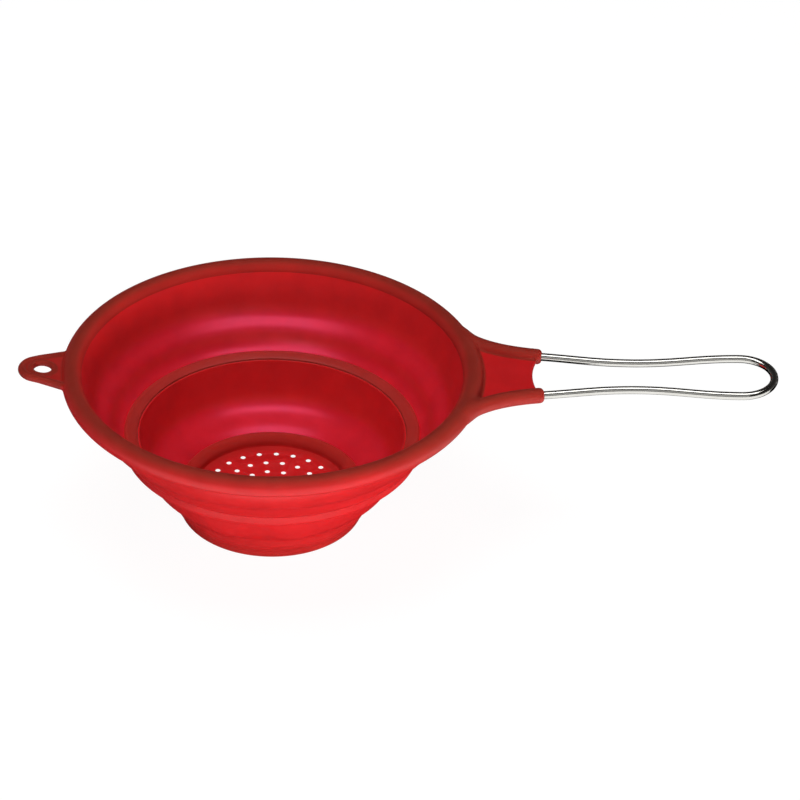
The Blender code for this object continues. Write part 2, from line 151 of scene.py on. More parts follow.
@dataclass(frozen=True)
class MouldedSilicone:
    """Silicone rubber, pigmented red and moulded in a finely blasted steel mould.

    The blasted mould gives a satin surface with soft, broad lights. The rubber is a little see
    through, so that thin walls look bright and thick ribs look deep and brownish. The brown is
    also painted shade, on faces that turn up away from the light and down the foot, and a pink
    painted highlight lies on the fold slopes that face the light, whose gloss is tinted pink as
    well. Cloud, ripple and grain each have the size of their pattern in millimetres, its detail
    and its roughness.
    """

    name: str = "moulded_silicone_red"
    thin_colour: str = "#d82226"
    # Brown of thick silicone, which the depth attribute also lays on as painted shade.
    thick_and_shaded_colour: str = "#9a3026"
    # A painted highlight on the fold slopes that face the light.
    painted_highlight_colour: str = "#d92332"
    dark_tone: float = 0.93
    light_tone: float = 1.07
    roughness: float = 0.30
    thick_roughness: float = 0.42
    roughness_spread: float = 0.10
    refraction: float = 1.41
    gloss_level: float = 0.5
    gloss_tint: str = "#ffffff"
    # Tint of the gloss where that painted highlight lies.
    highlight_gloss_tint: str = "#ff6698"
    glow_weight: float = 0.4
    glow_radius: tuple = (1.0, 0.22, 0.16)
    glow_reach_mm: float = 1.2
    cloud: tuple = (14.0, 3.0, 0.55)
    ripple: tuple = (9.0, 1.0, 0.5)
    ripple_depth_mm: float = 0.02
    grain: tuple = (0.5, 2.0, 0.5)
    grain_depth_mm: float = 0.006

    def build(self) -> bpy.types.Material:
        """Make the silicone material.

        Returns:
            The material.
        """
        material, tree, place = new_material(self.name)
        depth_and_shade = add_node(tree, "Attribute", attribute_name=DEPTH_AND_SHADE_ATTRIBUTE).outputs["Fac"]
        cloud, ripple, grain = [
            add_node(
                tree,
                "TexNoise",
                {"Vector": place, "Scale": 1.0 / (size * MM), "Detail": detail, "Roughness": rough},
            )
            for size, detail, rough in (self.cloud, self.ripple, self.grain)
        ]
        # Below zero the depth is a painted highlight; above zero it is thickness and painted shade.
        painted_highlight_share = add_node(tree, "Math", {0: depth_and_shade, 1: -1.0}, operation="MULTIPLY", use_clamp=True)
        body_changes = ((depth_and_shade, self.thick_and_shaded_colour), (painted_highlight_share, self.painted_highlight_colour))
        gloss_changes = ((painted_highlight_share, self.highlight_gloss_tint),)
        mixed = []
        for code, changes in ((self.thin_colour, body_changes), (self.gloss_tint, gloss_changes)):
            colour = linear(code)
            for share, other in changes:
                inputs = {"Factor": share, COLOUR_A: colour, COLOUR_B: linear(other)}
                colour = add_node(tree, "Mix", inputs, data_type="RGBA").outputs[COLOUR_RESULT]
            mixed.append(colour)
        body, sheer = mixed
        tones = {"To Min": self.dark_tone, "To Max": self.light_tone}
        tone = add_node(tree, "MapRange", {"Value": cloud, **NOISE_MIDDLE, **tones})
        toned = add_node(tree, "HueSaturation", {"Color": body, "Value": tone})
        dull = {"To Min": self.roughness, "To Max": self.thick_roughness}
        gloss = add_node(tree, "MapRange", {"Value": depth_and_shade, **dull})
        spread = {0: cloud, 1: self.roughness_spread, 2: gloss}
        uneven = add_node(tree, "Math", spread, operation="MULTIPLY_ADD")
        relief = {}
        for pattern, depth_mm in ((ripple, self.ripple_depth_mm), (grain, self.grain_depth_mm)):
            inputs = {"Height": pattern, "Strength": 1.0, "Distance": depth_mm * MM}
            relief = {"Normal": add_node(tree, "Bump", {**inputs, **relief})}
        shader = add_node(
            tree,
            "BsdfPrincipled",
            {
                "Base Color": toned,
                "Roughness": uneven,
                "Specular Tint": sheer,
                **relief,
                "IOR": self.refraction,
                "Specular IOR Level": self.gloss_level,
                "Subsurface Weight": self.glow_weight,
                "Subsurface Radius": self.glow_radius,
                "Subsurface Scale": self.glow_reach_mm * MM,
            },
        )
        add_node(tree, "OutputMaterial", {"Surface": shader})
        return material


@dataclass(frozen=True)
class DrawnWire:
    """Stainless steel wire, drawn through a die and polished.

    Drawing leaves fine lines along the wire, which stretch its lights lengthwise. Polishing keeps
    them bright, with dark edges where the wire turns away.
    """

    name: str = "drawn_polished_stainless_wire"
    colour: str = "#f0efea"
    dull_colour: str = "#dcdad3"
    roughness_low: float = 0.11
    roughness_high: float = 0.18
    line_length_mm: float = 30.0
    line_width_mm: float = 0.25
    line_depth_mm: float = 0.00025
    cloud_size_mm: float = 11.0

    def build(self) -> bpy.types.Material:
        """Make the wire's material.

        Returns:
            The material.
        """
        material, tree, place = new_material(self.name)
        along, around = [
            add_node(tree, "Attribute", attribute_name=name).outputs["Fac"]
            for name in (ALONG_ATTRIBUTE, AROUND_ATTRIBUTE)
        ]
        flat = add_node(tree, "CombineXYZ", {"X": along, "Y": around})
        pitch = (1.0 / self.line_length_mm, 1.0 / self.line_width_mm, 0.0)
        shares = add_node(tree, "VectorMath", {0: flat, 1: pitch}, operation="MULTIPLY")
        lines = add_node(tree, "TexNoise", {"Vector": shares, "Scale": 1.0, "Detail": 3.0})
        cloud_scale = 1.0 / (self.cloud_size_mm * MM)
        cloud = add_node(tree, "TexNoise", {"Vector": place, "Scale": cloud_scale, "Detail": 3.0})
        tones = {COLOUR_A: linear(self.colour), COLOUR_B: linear(self.dull_colour)}
        colour = add_node(tree, "Mix", {"Factor": cloud, **tones}, data_type="RGBA")
        spread = {"To Min": self.roughness_low, "To Max": self.roughness_high}
        gloss = add_node(tree, "MapRange", {"Value": lines, **NOISE_MIDDLE, **spread})
        scratched = add_node(
            tree, "Bump", {"Height": lines, "Strength": 1.0, "Distance": self.line_depth_mm * MM}
        )
        shader = add_node(
            tree,
            "BsdfPrincipled",
            {
                "Base Color": colour.outputs[COLOUR_RESULT],
                "Roughness": gloss,
                "Normal": scratched,
                "Metallic": 1.0,
            },
        )
        add_node(tree, "OutputMaterial", {"Surface": shader})
        return material


@dataclass(frozen=True)
class WhitePaper:
    """Matt white paper, as rolled out in a studio: plain white, with a faint soft shadow on it."""

    name: str = "matt_white_paper"
    colour: str = "#f4f3f1"
    fibre_scale: float = 40.0
    fibre_tone: float = 0.97
    shadow_share: float = 0.12
    glow: float = 1.08

    def build(self) -> bpy.types.Material:
        """Make the paper, which shows as white to the camera, in gloss and through the rubber.

        Returns:
            The material.
        """
        material, tree, place = new_material(self.name)
        fibre = add_node(tree, "TexNoise", {"Vector": place, "Scale": self.fibre_scale})
        spread = {"To Min": self.fibre_tone, "To Max": 1.0}
        tint = add_node(tree, "MapRange", {"Value": fibre, **spread})
        toned = add_node(tree, "HueSaturation", {"Color": linear(self.colour), "Value": tint})
        matt = add_node(tree, "BsdfDiffuse", {"Color": toned})
        white = add_node(tree, "Emission", {"Strength": self.glow})
        shown = add_node(tree, "MixShader", {"Fac": self.shadow_share, 1: white, 2: matt})
        path = add_node(tree, "LightPath")
        seen = path.outputs["Is Camera Ray"]
        for ray in ("Is Glossy Ray", "Is Transmission Ray"):
            seen = add_node(tree, "Math", {0: seen, 1: path.outputs[ray]}, operation="MAXIMUM")
        surface = add_node(tree, "MixShader", {"Fac": seen, 1: matt, 2: shown})
        add_node(tree, "OutputMaterial", {"Surface": surface})
        return material


@dataclass(frozen=True)
class BlackVelvet:
    """Black cotton velvet, woven and brushed up: it drinks nearly all light, a little unevenly."""

    name: str = "brushed_black_velvet"
    dark_colour: str = "#0c0c0c"
    pale_colour: str = "#1a1919"
    nap_scale: float = 60.0

    def build(self) -> bpy.types.Material:
        """Make the velvet.

        Returns:
            The material.
        """
        material, tree, place = new_material(self.name)
        nap = add_node(tree, "TexNoise", {"Vector": place, "Scale": self.nap_scale})
        tones = {COLOUR_A: linear(self.dark_colour), COLOUR_B: linear(self.pale_colour)}
        tone = add_node(tree, "Mix", {"Factor": nap, **tones}, data_type="RGBA")
        cloth = add_node(tree, "BsdfDiffuse", {"Color": tone.outputs[COLOUR_RESULT]})
        add_node(tree, "OutputMaterial", {"Surface": cloth})
        return material


@dataclass(frozen=True)
class Placement:
    """Where the bowl's axis and the rim's centre line are in the frame, in metres."""

    axis_x: float
    rim_z: float

    def world(self, points: np.ndarray) -> np.ndarray:
        """Turn points from millimetres about the rim's centre into the frame's metres."""
        return points * MM + np.array([self.axis_x, 0.0, self.rim_z])

    def on_axis(self, z: float) -> tuple[float, float, float]:
        """Turn a height on the bowl's axis from millimetres into the frame's metres."""
        return (self.axis_x, 0.0, z * MM + self.rim_z)


def read_placement() -> Placement:
    """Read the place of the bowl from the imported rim."""
    low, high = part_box("rim_bead")
    return Placement(axis_x=(low.x + high.x) / 2.0, rim_z=(low.z + high.z) / 2.0)


def make_object(
    name: str, points: np.ndarray, faces: list | np.ndarray, material: bpy.types.Material
) -> bpy.types.Object:
    """Make a smooth mesh object whose faces look outward.

    Args:
        name: The object's name.
        points: The corners, in metres.
        faces: Corner numbers of each face.
        material: The material of the whole mesh.

    Returns:
        The new object.
    """
    mesh = bpy.data.meshes.new(name)
    mesh.from_pydata(points.tolist(), [], [tuple(face) for face in faces])
    shape = bmesh.new()
    shape.from_mesh(mesh)
    bmesh.ops.recalc_face_normals(shape, faces=shape.faces)
    shape.to_mesh(mesh)
    shape.free()
    mesh.shade_smooth()
    mesh.materials.append(material)
    item = bpy.data.objects.new(name, mesh)
    bpy.context.scene.collection.objects.link(item)
    return item


def set_attribute(item: bpy.types.Object, name: str, values: np.ndarray) -> None:
    """Store one number at each corner of a mesh."""
    attribute = item.data.attributes.new(name, "FLOAT", "POINT")
    attribute.data.foreach_set("value", values.astype(np.float32))


def full_turn(count: int) -> np.ndarray:
    """Spread angles evenly round a full turn, in radians."""
    return np.arange(count) * 2.0 * math.pi / count


def circle_points(radius: float, turn: np.ndarray) -> np.ndarray:
    """Give the flat points of a circle about zero at these turns."""
    return np.stack([radius * np.cos(turn), radius * np.sin(turn)], axis=1)


def grid_faces(rows: int, columns: int, closed_rows: bool, closed_columns: bool) -> np.ndarray:
    """List the faces of a grid of corners, numbered row by row.

    Args:
        rows: Count of rows.
        columns: Count of corners in a row.
        closed_rows: Whether the last row joins the first.
        closed_columns: Whether the last corner of a row joins its first.

    Returns:
        Four corner numbers for each face.
    """
    row = np.arange(rows if closed_rows else rows - 1)
    column = np.arange(columns if closed_columns else columns - 1)
    r, c = (axis.ravel() for axis in np.meshgrid(row, column, indexing="ij"))
    here, down = r * columns, (r + 1) % rows * columns
    right = (c + 1) % columns
    return np.stack([here + c, here + right, down + right, down + c], axis=1)


def smooth_line(points: tuple | list, spacing: float) -> np.ndarray:
    """Draw a smooth line through points, as a natural cubic spline over their distances.

    Args:
        points: The points to pass through.
        spacing: The wanted distance between the points of the result.

    Returns:
        The points of the line, both ends included.
    """
    knots = np.asarray(points, float)
    reach = np.linalg.norm(np.diff(knots, axis=0), axis=1)
    count = len(knots)
    if count == 2:
        steps = max(int(math.ceil(reach[0] / spacing)), 1)
        share = np.linspace(0.0, 1.0, steps + 1)[:, None]
        return knots[0] * (1.0 - share) + knots[1] * share
    system = np.zeros((count, count))
    right = np.zeros_like(knots)
    system[0, 0] = system[-1, -1] = 1.0
    for index in range(1, count - 1):
        before, after = reach[index - 1], reach[index]
        system[index, index - 1 : index + 2] = (before, 2.0 * (before + after), after)
        step_after = (knots[index + 1] - knots[index]) / after
        step_before = (knots[index] - knots[index - 1]) / before
        right[index] = 6.0 * (step_after - step_before)
    bend = np.linalg.solve(system, right)
    line = [knots[:1]]
    for index in range(count - 1):
        length = reach[index]
        steps = max(int(math.ceil(length / spacing)), 1)
        t = (np.arange(1, steps + 1) / steps)[:, None] * length
        s = length - t
        curve = (bend[index] * s ** 3 + bend[index + 1] * t ** 3) / (6.0 * length)
        start = (knots[index] / length - bend[index] * length / 6.0) * s
        end = (knots[index + 1] / length - bend[index + 1] * length / 6.0) * t
        line.append(curve + start + end)
    return np.concatenate(line)


def left_of(along: np.ndarray) -> np.ndarray:
    """Turn flat directions a quarter to the left, and give them a length of one."""
    along = along / np.linalg.norm(along, axis=1, keepdims=True)
    return np.stack([-along[:, 1], along[:, 0]], axis=1)


def soft_step(low: float, high: float, value: np.ndarray) -> np.ndarray:
    """Rise smoothly from zero at low to one at high."""
    t = np.clip((value - low) / (high - low), 0.0, 1.0)
    return t * t * (3.0 - 2.0 * t)


def soft_union(
    first: np.ndarray, second: np.ndarray, fillet: float | np.ndarray
) -> np.ndarray:
    """Join two distance fields, with a fillet of one size or of a size for each point."""
    near = np.maximum(fillet - np.abs(first - second), 0.0) / fillet
    return np.minimum(first, second) - near * near * fillet / 4.0


def soft_cut(first: np.ndarray, second: np.ndarray, fillet: float) -> np.ndarray:
    """Keep what lies in both distance fields, with a rounded edge."""
    return -soft_union(-first, -second, fillet)


def bezier(corners: list, count: int) -> np.ndarray:
    """Draw a cubic curve.

    Args:
        corners: Its start, both handles and its end.
        count: Count of steps.

    Returns:
        The curve's points, without the last.
    """
    t = (np.arange(count) / count)[:, None]
    s = 1.0 - t
    start, first, second, end = (np.asarray(corner, float) for corner in corners)
    return start * s ** 3 + 3.0 * first * s * s * t + 3.0 * second * s * t * t + end * t ** 3


@dataclass(frozen=True)
class WireRoute:
    """The flat route of the one wire: hoop, legs, waist and loop, in millimetres."""

    hoop_radius: float = 95.2
    hoop_end_deg: float = 26.0
    leg_x: float = 128.3
    leg_y: float = 16.6
    leg_slope: float = -0.13
    waist_x: float = 172.0
    waist_y: float = 11.6
    loop_x: float = 222.2
    loop_radius: float = 16.1
    fillet_start_share: float = 0.31
    fillet_end_share: float = 0.47
    fillet_length: float = 50.0
    leg_share: float = 0.40

    def leg(self) -> tuple[np.ndarray, np.ndarray]:
        """Give the start of the upper leg and its direction there."""
        slope = np.array([1.0, self.leg_slope]) / math.hypot(1.0, self.leg_slope)
        return np.array([self.leg_x, self.leg_y]), slope

    def fillet(self, count: int) -> np.ndarray:
        """Draw the bend from the hoop into the upper leg.

        Args:
            count: Count of steps.

        Returns:
            Points from the hoop to the start of the leg.
        """
        turn = math.radians(self.hoop_end_deg)
        leave = np.array([math.cos(turn), math.sin(turn)]) * self.hoop_radius
        away = np.array([math.sin(turn), -math.cos(turn)])
        leg, slope = self.leg()
        reach = np.linalg.norm(leg - leave)
        first = leave + away * reach * self.fillet_start_share
        second = leg - slope * reach * self.fillet_end_share
        return np.concatenate([bezier([leave, first, second, leg], count), [leg]])

    def closed(self, spacing: float) -> np.ndarray:
        """Draw the whole closed route.

        Args:
            spacing: The rough distance between its points.

        Returns:
            The route's points.
        """
        leg, slope = self.leg()
        waist = np.array([self.waist_x, self.waist_y])
        bend = np.array([self.loop_x, self.loop_radius])
        ahead = np.array([1.0, 0.0])
        parts = [self.fillet(int(self.fillet_length / spacing))[:-1]]
        for start, leave, stop in ((leg, slope, waist), (waist, ahead, bend)):
            length = stop[0] - start[0]
            reach = length * self.leg_share
            corners = [start, start + leave * reach, stop - ahead * reach, stop]
            parts.append(bezier(corners, int(length / spacing)))
        upper = np.concatenate(parts)
        lower = (upper * np.array([1.0, -1.0]))[::-1]
        loop_steps = int(math.pi * self.loop_radius / spacing)
        half = np.linspace(math.pi / 2.0, -math.pi / 2.0, loop_steps + 1)
        loop = circle_points(self.loop_radius, half) + np.array([self.loop_x, 0.0])
        end = math.radians(self.hoop_end_deg)
        hoop_steps = int((2.0 * math.pi - 2.0 * end) * self.hoop_radius / spacing)
        sweep = np.linspace(2.0 * math.pi - end, end, hoop_steps + 1)[1:-1]
        return np.concatenate([upper, loop, lower, circle_points(self.hoop_radius, sweep)])


@dataclass
class HandleWire:
    """The one wire, bent into the handle's loop and the hoop inside the rim."""

    route: WireRoute
    place: Placement
    radius: float = 1.9
    sides: int = 20
    spacing: float = 1.2

    def build(self, material: bpy.types.Material) -> bpy.types.Object:
        """Sweep a round section along the route.

        Args:
            material: The drawn steel.

        Returns:
            The wire.
        """
        line = self.route.closed(self.spacing)
        left = left_of(np.roll(line, -1, axis=0) - np.roll(line, 1, axis=0))
        turn = full_turn(self.sides)
        flat = line[:, None, :] + left[:, None, :] * (self.radius * np.cos(turn))[None, :, None]
        rise = np.broadcast_to(self.radius * np.sin(turn), flat.shape[:2])
        points = np.concatenate([flat, rise[:, :, None]], axis=2).reshape(-1, 3)
        faces = grid_faces(len(line), self.sides, True, True)
        item = make_object("handle_wire", self.place.world(points), faces, material)
        steps = np.linalg.norm(np.diff(line, axis=0, prepend=line[:1]), axis=1)
        set_attribute(item, ALONG_ATTRIBUTE, np.repeat(np.cumsum(steps), self.sides))
        girth = np.abs(turn - math.pi) * self.radius
        set_attribute(item, AROUND_ATTRIBUTE, np.tile(girth, len(line)))
        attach(item, Body.RIM.value)
        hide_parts("wire_frame")
        return item


def surface_net(
    field: np.ndarray, corner: np.ndarray, step: float
) -> tuple[np.ndarray, np.ndarray]:
    """Wrap the zero level of a field of distances in four-sided faces.

    Args:
        field: Distances on a grid, negative inside.
        corner: The grid's first point.
        step: The grid's spacing.

    Returns:
        The corners of the net and its faces.
    """
    inside = field < 0.0
    shape = np.array(field.shape) - 1
    offsets = [(i, j, k) for i in (0, 1) for j in (0, 1) for k in (0, 1)]
    count = np.zeros(shape, np.int8)
    for i, j, k in offsets:
        count += inside[i : i + shape[0], j : j + shape[1], k : k + shape[2]]
    cells = np.argwhere((count > 0) & (count < 8))
    total = np.zeros((len(cells), 3))
    crossings = np.zeros(len(cells))
    for start in offsets:
        for axis in range(3):
            if start[axis] == 0:
                end = np.array(start)
                end[axis] = 1
                a = field[tuple((cells + start).T)]
                b = field[tuple((cells + end).T)]
                crossed = (a < 0.0) != (b < 0.0)
                share = np.where(crossed, a / np.where(crossed, a - b, 1.0), 0.0)
                point = np.tile(np.array(start, float), (len(cells), 1))
                point[:, axis] = share
                total += point * crossed[:, None]
                crossings += crossed
    points = corner + (cells + total / crossings[:, None]) * step
    number = np.full(shape, -1, np.int64)
    number[tuple(cells.T)] = np.arange(len(cells))
    faces = []
    for axis in range(3):
        u, v = [other for other in range(3) if other != axis]
        low = [slice(1, -1)] * 3
        low[axis] = slice(0, -1)
        high = list(low)
        high[axis] = slice(1, None)
        base = np.argwhere(inside[tuple(low)] != inside[tuple(high)])
        ring = []
        for du, dv in ((1, 1), (0, 1), (0, 0), (1, 0)):
            cell = base.copy()
            cell[:, u] += du
            cell[:, v] += dv
            ring.append(number[tuple(cell.T)])
        faces.append(np.stack(ring, axis=1))
    return points, np.concatenate(faces)


@dataclass(frozen=True)
class RimPaintedShade:
    """Where the brown on the rim's moulding fades: thick silicone's own colour and painted shade.

    The brown is the thick silicone's own colour next to the thin web and tab plate, and painted
    shade where it stays on the tops that face up and fades on the sides that turn to the light;
    under the bead's side a painted reflection lightens it further. A pair runs from where a fade
    starts to where it is complete, as a reach in millimetres or as a tilt in degrees, and a share
    says how strong the fade is.
    """

    yoke_x: float = 45.0
    yoke_y: float = 90.0
    web_reach: tuple = (0.7, 1.6)
    sleeve_x: tuple = (45.0, 85.0)
    sleeve_share: float = 0.72
    plate_reach: tuple = (0.0, 0.9)
    plate_share: float = 0.45
    tab_reach: tuple = (0.3, 2.0)
    tab_share: float = 0.8
    inner_reach: float = 0.4
    inner_tilt: tuple = (75.0, 40.0)
    inner_share: float = 0.35
    outer_tilt: tuple = (78.0, 0.0)
    outer_share: float = 0.75
    reflection_tilt: tuple = (30.0, 5.0)
    reflection_under_tilt: tuple = (-60.0, -40.0)
    reflection_share: float = 0.2


@dataclass
class RimMoulding:
    """The moulding's stiff upper part: rim bead, yoke and hang tab, in one surface."""

    route: WireRoute
    place: Placement
    painted_shade: RimPaintedShade = RimPaintedShade()
    bead_radius: float = 4.8
    bead_margin: float = 2.0
    fillet_steps: int = 22
    sleeve_radius: float = 3.7
    sleeve_overrun: float = 11.1
    sleeve_end_round: float = 2.6
    sleeve_fillet: float = 3.2
    sleeve_grow: float = 8.0
    sleeve_side: tuple = (-3.0, 2.0)
    least_fillet: float = 0.05
    web_top: float = 0.4
    web_thickness: float = 2.4
    web_setback: float = 1.5
    web_hollow: float = 3.4
    web_edge_round: float = 1.1
    web_fillet: float = 1.0
    yoke_zone: tuple = (60.0, 56.0)
    yoke_inner: float = 90.0
    tab_zone: tuple = (84.0, 26.0)
    tab_centre_x: float = -110.5
    tab_hole_x: float = -108.8
    tab_rise: float = 1.9
    tab_root_rise: float = 0.7
    tab_edge_route: float = 8.1
    tab_edge_radius: float = 1.9
    tab_root_y: float = 15.0
    tab_arc_deg: float = 62.0
    tab_arc_steps: int = 12
    tab_plate: float = 1.5
    tab_hole: float = 4.1
    tab_collar: float = 1.45
    tab_edge_fillet: float = 0.9
    tab_collar_fillet: float = 0.7
    tab_fillet: float = 0.8
    low: tuple = (-122.5, -102.0, -6.0)
    high: tuple = (131.5, 102.0, 6.0)
    step: float = 0.55
    quick_step: float = 0.9
    far: float = 50.0
    pulls: int = 4
    slope_reach: float = 0.02
    least_slope: float = 0.05

    def zones(self, x: np.ndarray, y: np.ndarray) -> tuple[np.ndarray, np.ndarray]:
        """Tell which places are near the yoke, and which near the tab, as two masks."""
        (yoke_x, yoke_y), (tab_x, tab_y) = self.yoke_zone, self.tab_zone
        return (x > yoke_x) & (np.abs(y) < yoke_y), (x < -tab_x) & (np.abs(y) < tab_y)

    def bead(self, p: np.ndarray) -> np.ndarray:
        """Give the distance to the round bead."""
        reach = np.hypot(p[:, 0], p[:, 1]) - self.route.hoop_radius
        return np.hypot(reach, p[:, 2]) - self.bead_radius

    def route_distance(self, p: np.ndarray, line: np.ndarray) -> np.ndarray:
        """Distance in plan to a line on the side of +Y.

        Args:
            p: The points.
            line: The line's points.

        Returns:
            The distance of each point.
        """
        flat = np.stack([p[:, 0], np.abs(p[:, 1])], axis=1)
        best = np.full(len(p), np.inf)
        for start, end in zip(line[:-1], line[1:]):
            along = end - start
            t = np.clip((flat - start) @ along / (along @ along), 0.0, 1.0)
            best = np.minimum(best, np.linalg.norm(flat - start - t[:, None] * along, axis=1))
        return best

    def sleeves(self, p: np.ndarray) -> np.ndarray:
        """Distance to both sleeves round the wire's legs.

        Args:
            p: The points.

        Returns:
            The distance of each point.
        """
        line = self.route.fillet(self.fillet_steps)
        out = (line[-1] - line[-2]) / np.linalg.norm(line[-1] - line[-2])
        longer = np.concatenate([line, [line[-1] + out * self.sleeve_overrun]])
        tube = np.hypot(self.route_distance(p, longer), p[:, 2]) - self.sleeve_radius
        past = (p[:, 0] - line[-1][0]) * out[0] + (np.abs(p[:, 1]) - line[-1][1]) * out[1]
        return soft_cut(tube, past, self.sleeve_end_round)

    def web(self, p: np.ndarray) -> np.ndarray:
        """Distance to the recessed web between the sleeves.

        Args:
            p: The points.

        Returns:
            The distance of each point.
        """
        line = self.route.fillet(self.fillet_steps)
        bow = (self.route.leg_y ** 2 + self.web_hollow ** 2) / (2.0 * self.web_hollow)
        bow_x = self.route.leg_x - self.web_setback - self.web_hollow + bow
        hollow = bow - np.hypot(p[:, 0] - bow_x, p[:, 1])
        side = np.abs(p[:, 1]) - np.interp(p[:, 0], line[:, 0], line[:, 1])
        root = self.route.hoop_radius - np.hypot(p[:, 0], p[:, 1])
        edge = np.maximum(np.maximum(side, root), hollow)
        middle = self.web_top - self.web_thickness / 2.0
        plate = np.abs(p[:, 2] - middle) - self.web_thickness / 2.0
        return soft_cut(plate, edge, self.web_edge_round)

    def tab_parts(self, p: np.ndarray) -> tuple[np.ndarray, np.ndarray, np.ndarray]:
        """Distances to the tab's round edge, its plate and the collar of its hole.

        Args:
            p: The points.

        Returns:
            The three distances of each point.
        """
        hoop = self.route.hoop_radius
        turn = np.radians(np.linspace(180.0 - self.tab_arc_deg, 180.0, self.tab_arc_steps))
        arc = circle_points(self.tab_edge_route, turn) + np.array([self.tab_centre_x, 0.0])
        root = np.array([[-hoop, self.tab_root_y]])
        line = np.concatenate([root, arc])
        share = np.interp(-p[:, 0], [hoop, -self.tab_centre_x], [0.0, 1.0])
        height = p[:, 2] - self.tab_root_rise - (self.tab_rise - self.tab_root_rise) * share
        edge = np.hypot(self.route_distance(p, line), height) - self.tab_edge_radius
        out = np.hypot(p[:, 0] - self.tab_centre_x, p[:, 1])
        hole = np.hypot(p[:, 0] - self.tab_hole_x, p[:, 1])
        along = (arc[0] - root[0]) / np.linalg.norm(arc[0] - root[0])
        off = (p[:, 0] - root[0, 0]) * along[1] - (np.abs(p[:, 1]) - root[0, 1]) * along[0]
        trapezium = np.maximum(np.maximum(off, arc[0, 0] - p[:, 0]), p[:, 0] + hoop)
        region = np.minimum(out - self.tab_edge_route, trapezium)
        plate = np.maximum(np.abs(height) - self.tab_plate / 2.0, region)
        plate = np.maximum(plate, self.tab_hole + self.tab_collar / 2.0 - hole)
        collar = np.hypot(hole - self.tab_hole - self.tab_collar, height) - self.tab_collar
        return edge, plate, collar

    def distance(self, p: np.ndarray) -> np.ndarray:
        """Distance to the whole moulding.

        Args:
            p: The points.

        Returns:
            The distance of each point.
        """
        result = self.bead(p)
        yoke, tab = self.zones(p[:, 0], p[:, 1])
        if yoke.any():
            q = p[yoke]
            reach = np.hypot(q[:, 0], q[:, 1]) - self.route.hoop_radius
            start = self.route.fillet(self.fillet_steps)[0][1]
            grown = soft_step(start, start - self.sleeve_grow, np.abs(q[:, 1]))
            grown = soft_step(*self.sleeve_side, reach) * grown
            fillet = self.least_fillet + self.sleeve_fillet * grown
            solid = soft_union(result[yoke], self.sleeves(q), fillet)
            result[yoke] = soft_union(solid, self.web(q), self.web_fillet)
        if tab.any():
            edge, plate, collar = self.tab_parts(p[tab])
            solid = soft_union(edge, plate, self.tab_edge_fillet)
            solid = soft_union(solid, collar, self.tab_collar_fillet)
            result[tab] = soft_union(result[tab], solid, self.tab_fillet)
        return result

    def slope(self, p: np.ndarray) -> np.ndarray:
        """Direction in which the distance grows fastest.

        Args:
            p: The points.

        Returns:
            A vector for each point.
        """
        span = 2.0 * self.slope_reach
        ways = [
            (self.distance(p + shift) - self.distance(p - shift)) / span
            for shift in np.eye(3) * self.slope_reach
        ]
        return np.stack(ways, axis=1)

    def depth_and_shade(self, p: np.ndarray, normal: np.ndarray) -> np.ndarray:
        """Depth with painted shade, from zero at a thin wall to one on top of the bead.

        The thick parts carry painted shade, darkest on top where they face up, and their sides,
        where the light falls, pass over into the bright thin walls; a painted reflection lightens
        the band under the bead's side.

        Args:
            p: The points.
            normal: The surface's direction at each of them.

        Returns:
            A depth for each point.
        """
        painted_shade = self.painted_shade
        result, free = np.ones(len(p)), np.zeros(len(p))
        yoke = (p[:, 0] > painted_shade.yoke_x) & (np.abs(p[:, 1]) < painted_shade.yoke_y)
        thick = np.minimum(self.bead(p[yoke]), self.sleeves(p[yoke]))
        result[yoke] = 1.0 - soft_step(*painted_shade.web_reach, thick)
        free[yoke] = painted_shade.sleeve_share * soft_step(*painted_shade.sleeve_x, p[yoke, 0])
        _, tab = self.zones(p[:, 0], p[:, 1])
        edge, _, collar = self.tab_parts(p[tab])
        thick = np.minimum(np.minimum(edge, collar), self.bead(p[tab]))
        result[tab] = 1.0 - painted_shade.plate_share * soft_step(*painted_shade.plate_reach, thick)
        free[tab] = painted_shade.tab_share * soft_step(*painted_shade.tab_reach, self.bead(p[tab]))
        # Painted shade by tilt: faces that turn up keep the brown, faces that turn to the side and
        # down, towards the light, lose it, and a band under the bead's side gets a painted
        # reflection.
        tilt = np.degrees(np.arcsin(np.clip(normal[:, 2], -1.0, 1.0)))
        outward = (p[:, :2] * normal[:, :2]).sum(axis=1) / np.hypot(p[:, 0], p[:, 1])
        inside = (outward < 0.0) & (self.bead(p) < painted_shade.inner_reach)
        inner = painted_shade.inner_share * soft_step(*painted_shade.inner_tilt, tilt)
        outer = painted_shade.outer_share * soft_step(*painted_shade.outer_tilt, tilt) * (1.0 - free)
        side = soft_step(*painted_shade.reflection_tilt, tilt) * soft_step(*painted_shade.reflection_under_tilt, tilt)
        side = side * ~inside * (1.0 - free)
        fade = np.where(inside, inner, outer) + painted_shade.reflection_share * side
        return result - np.maximum(result, 0.0) * fade

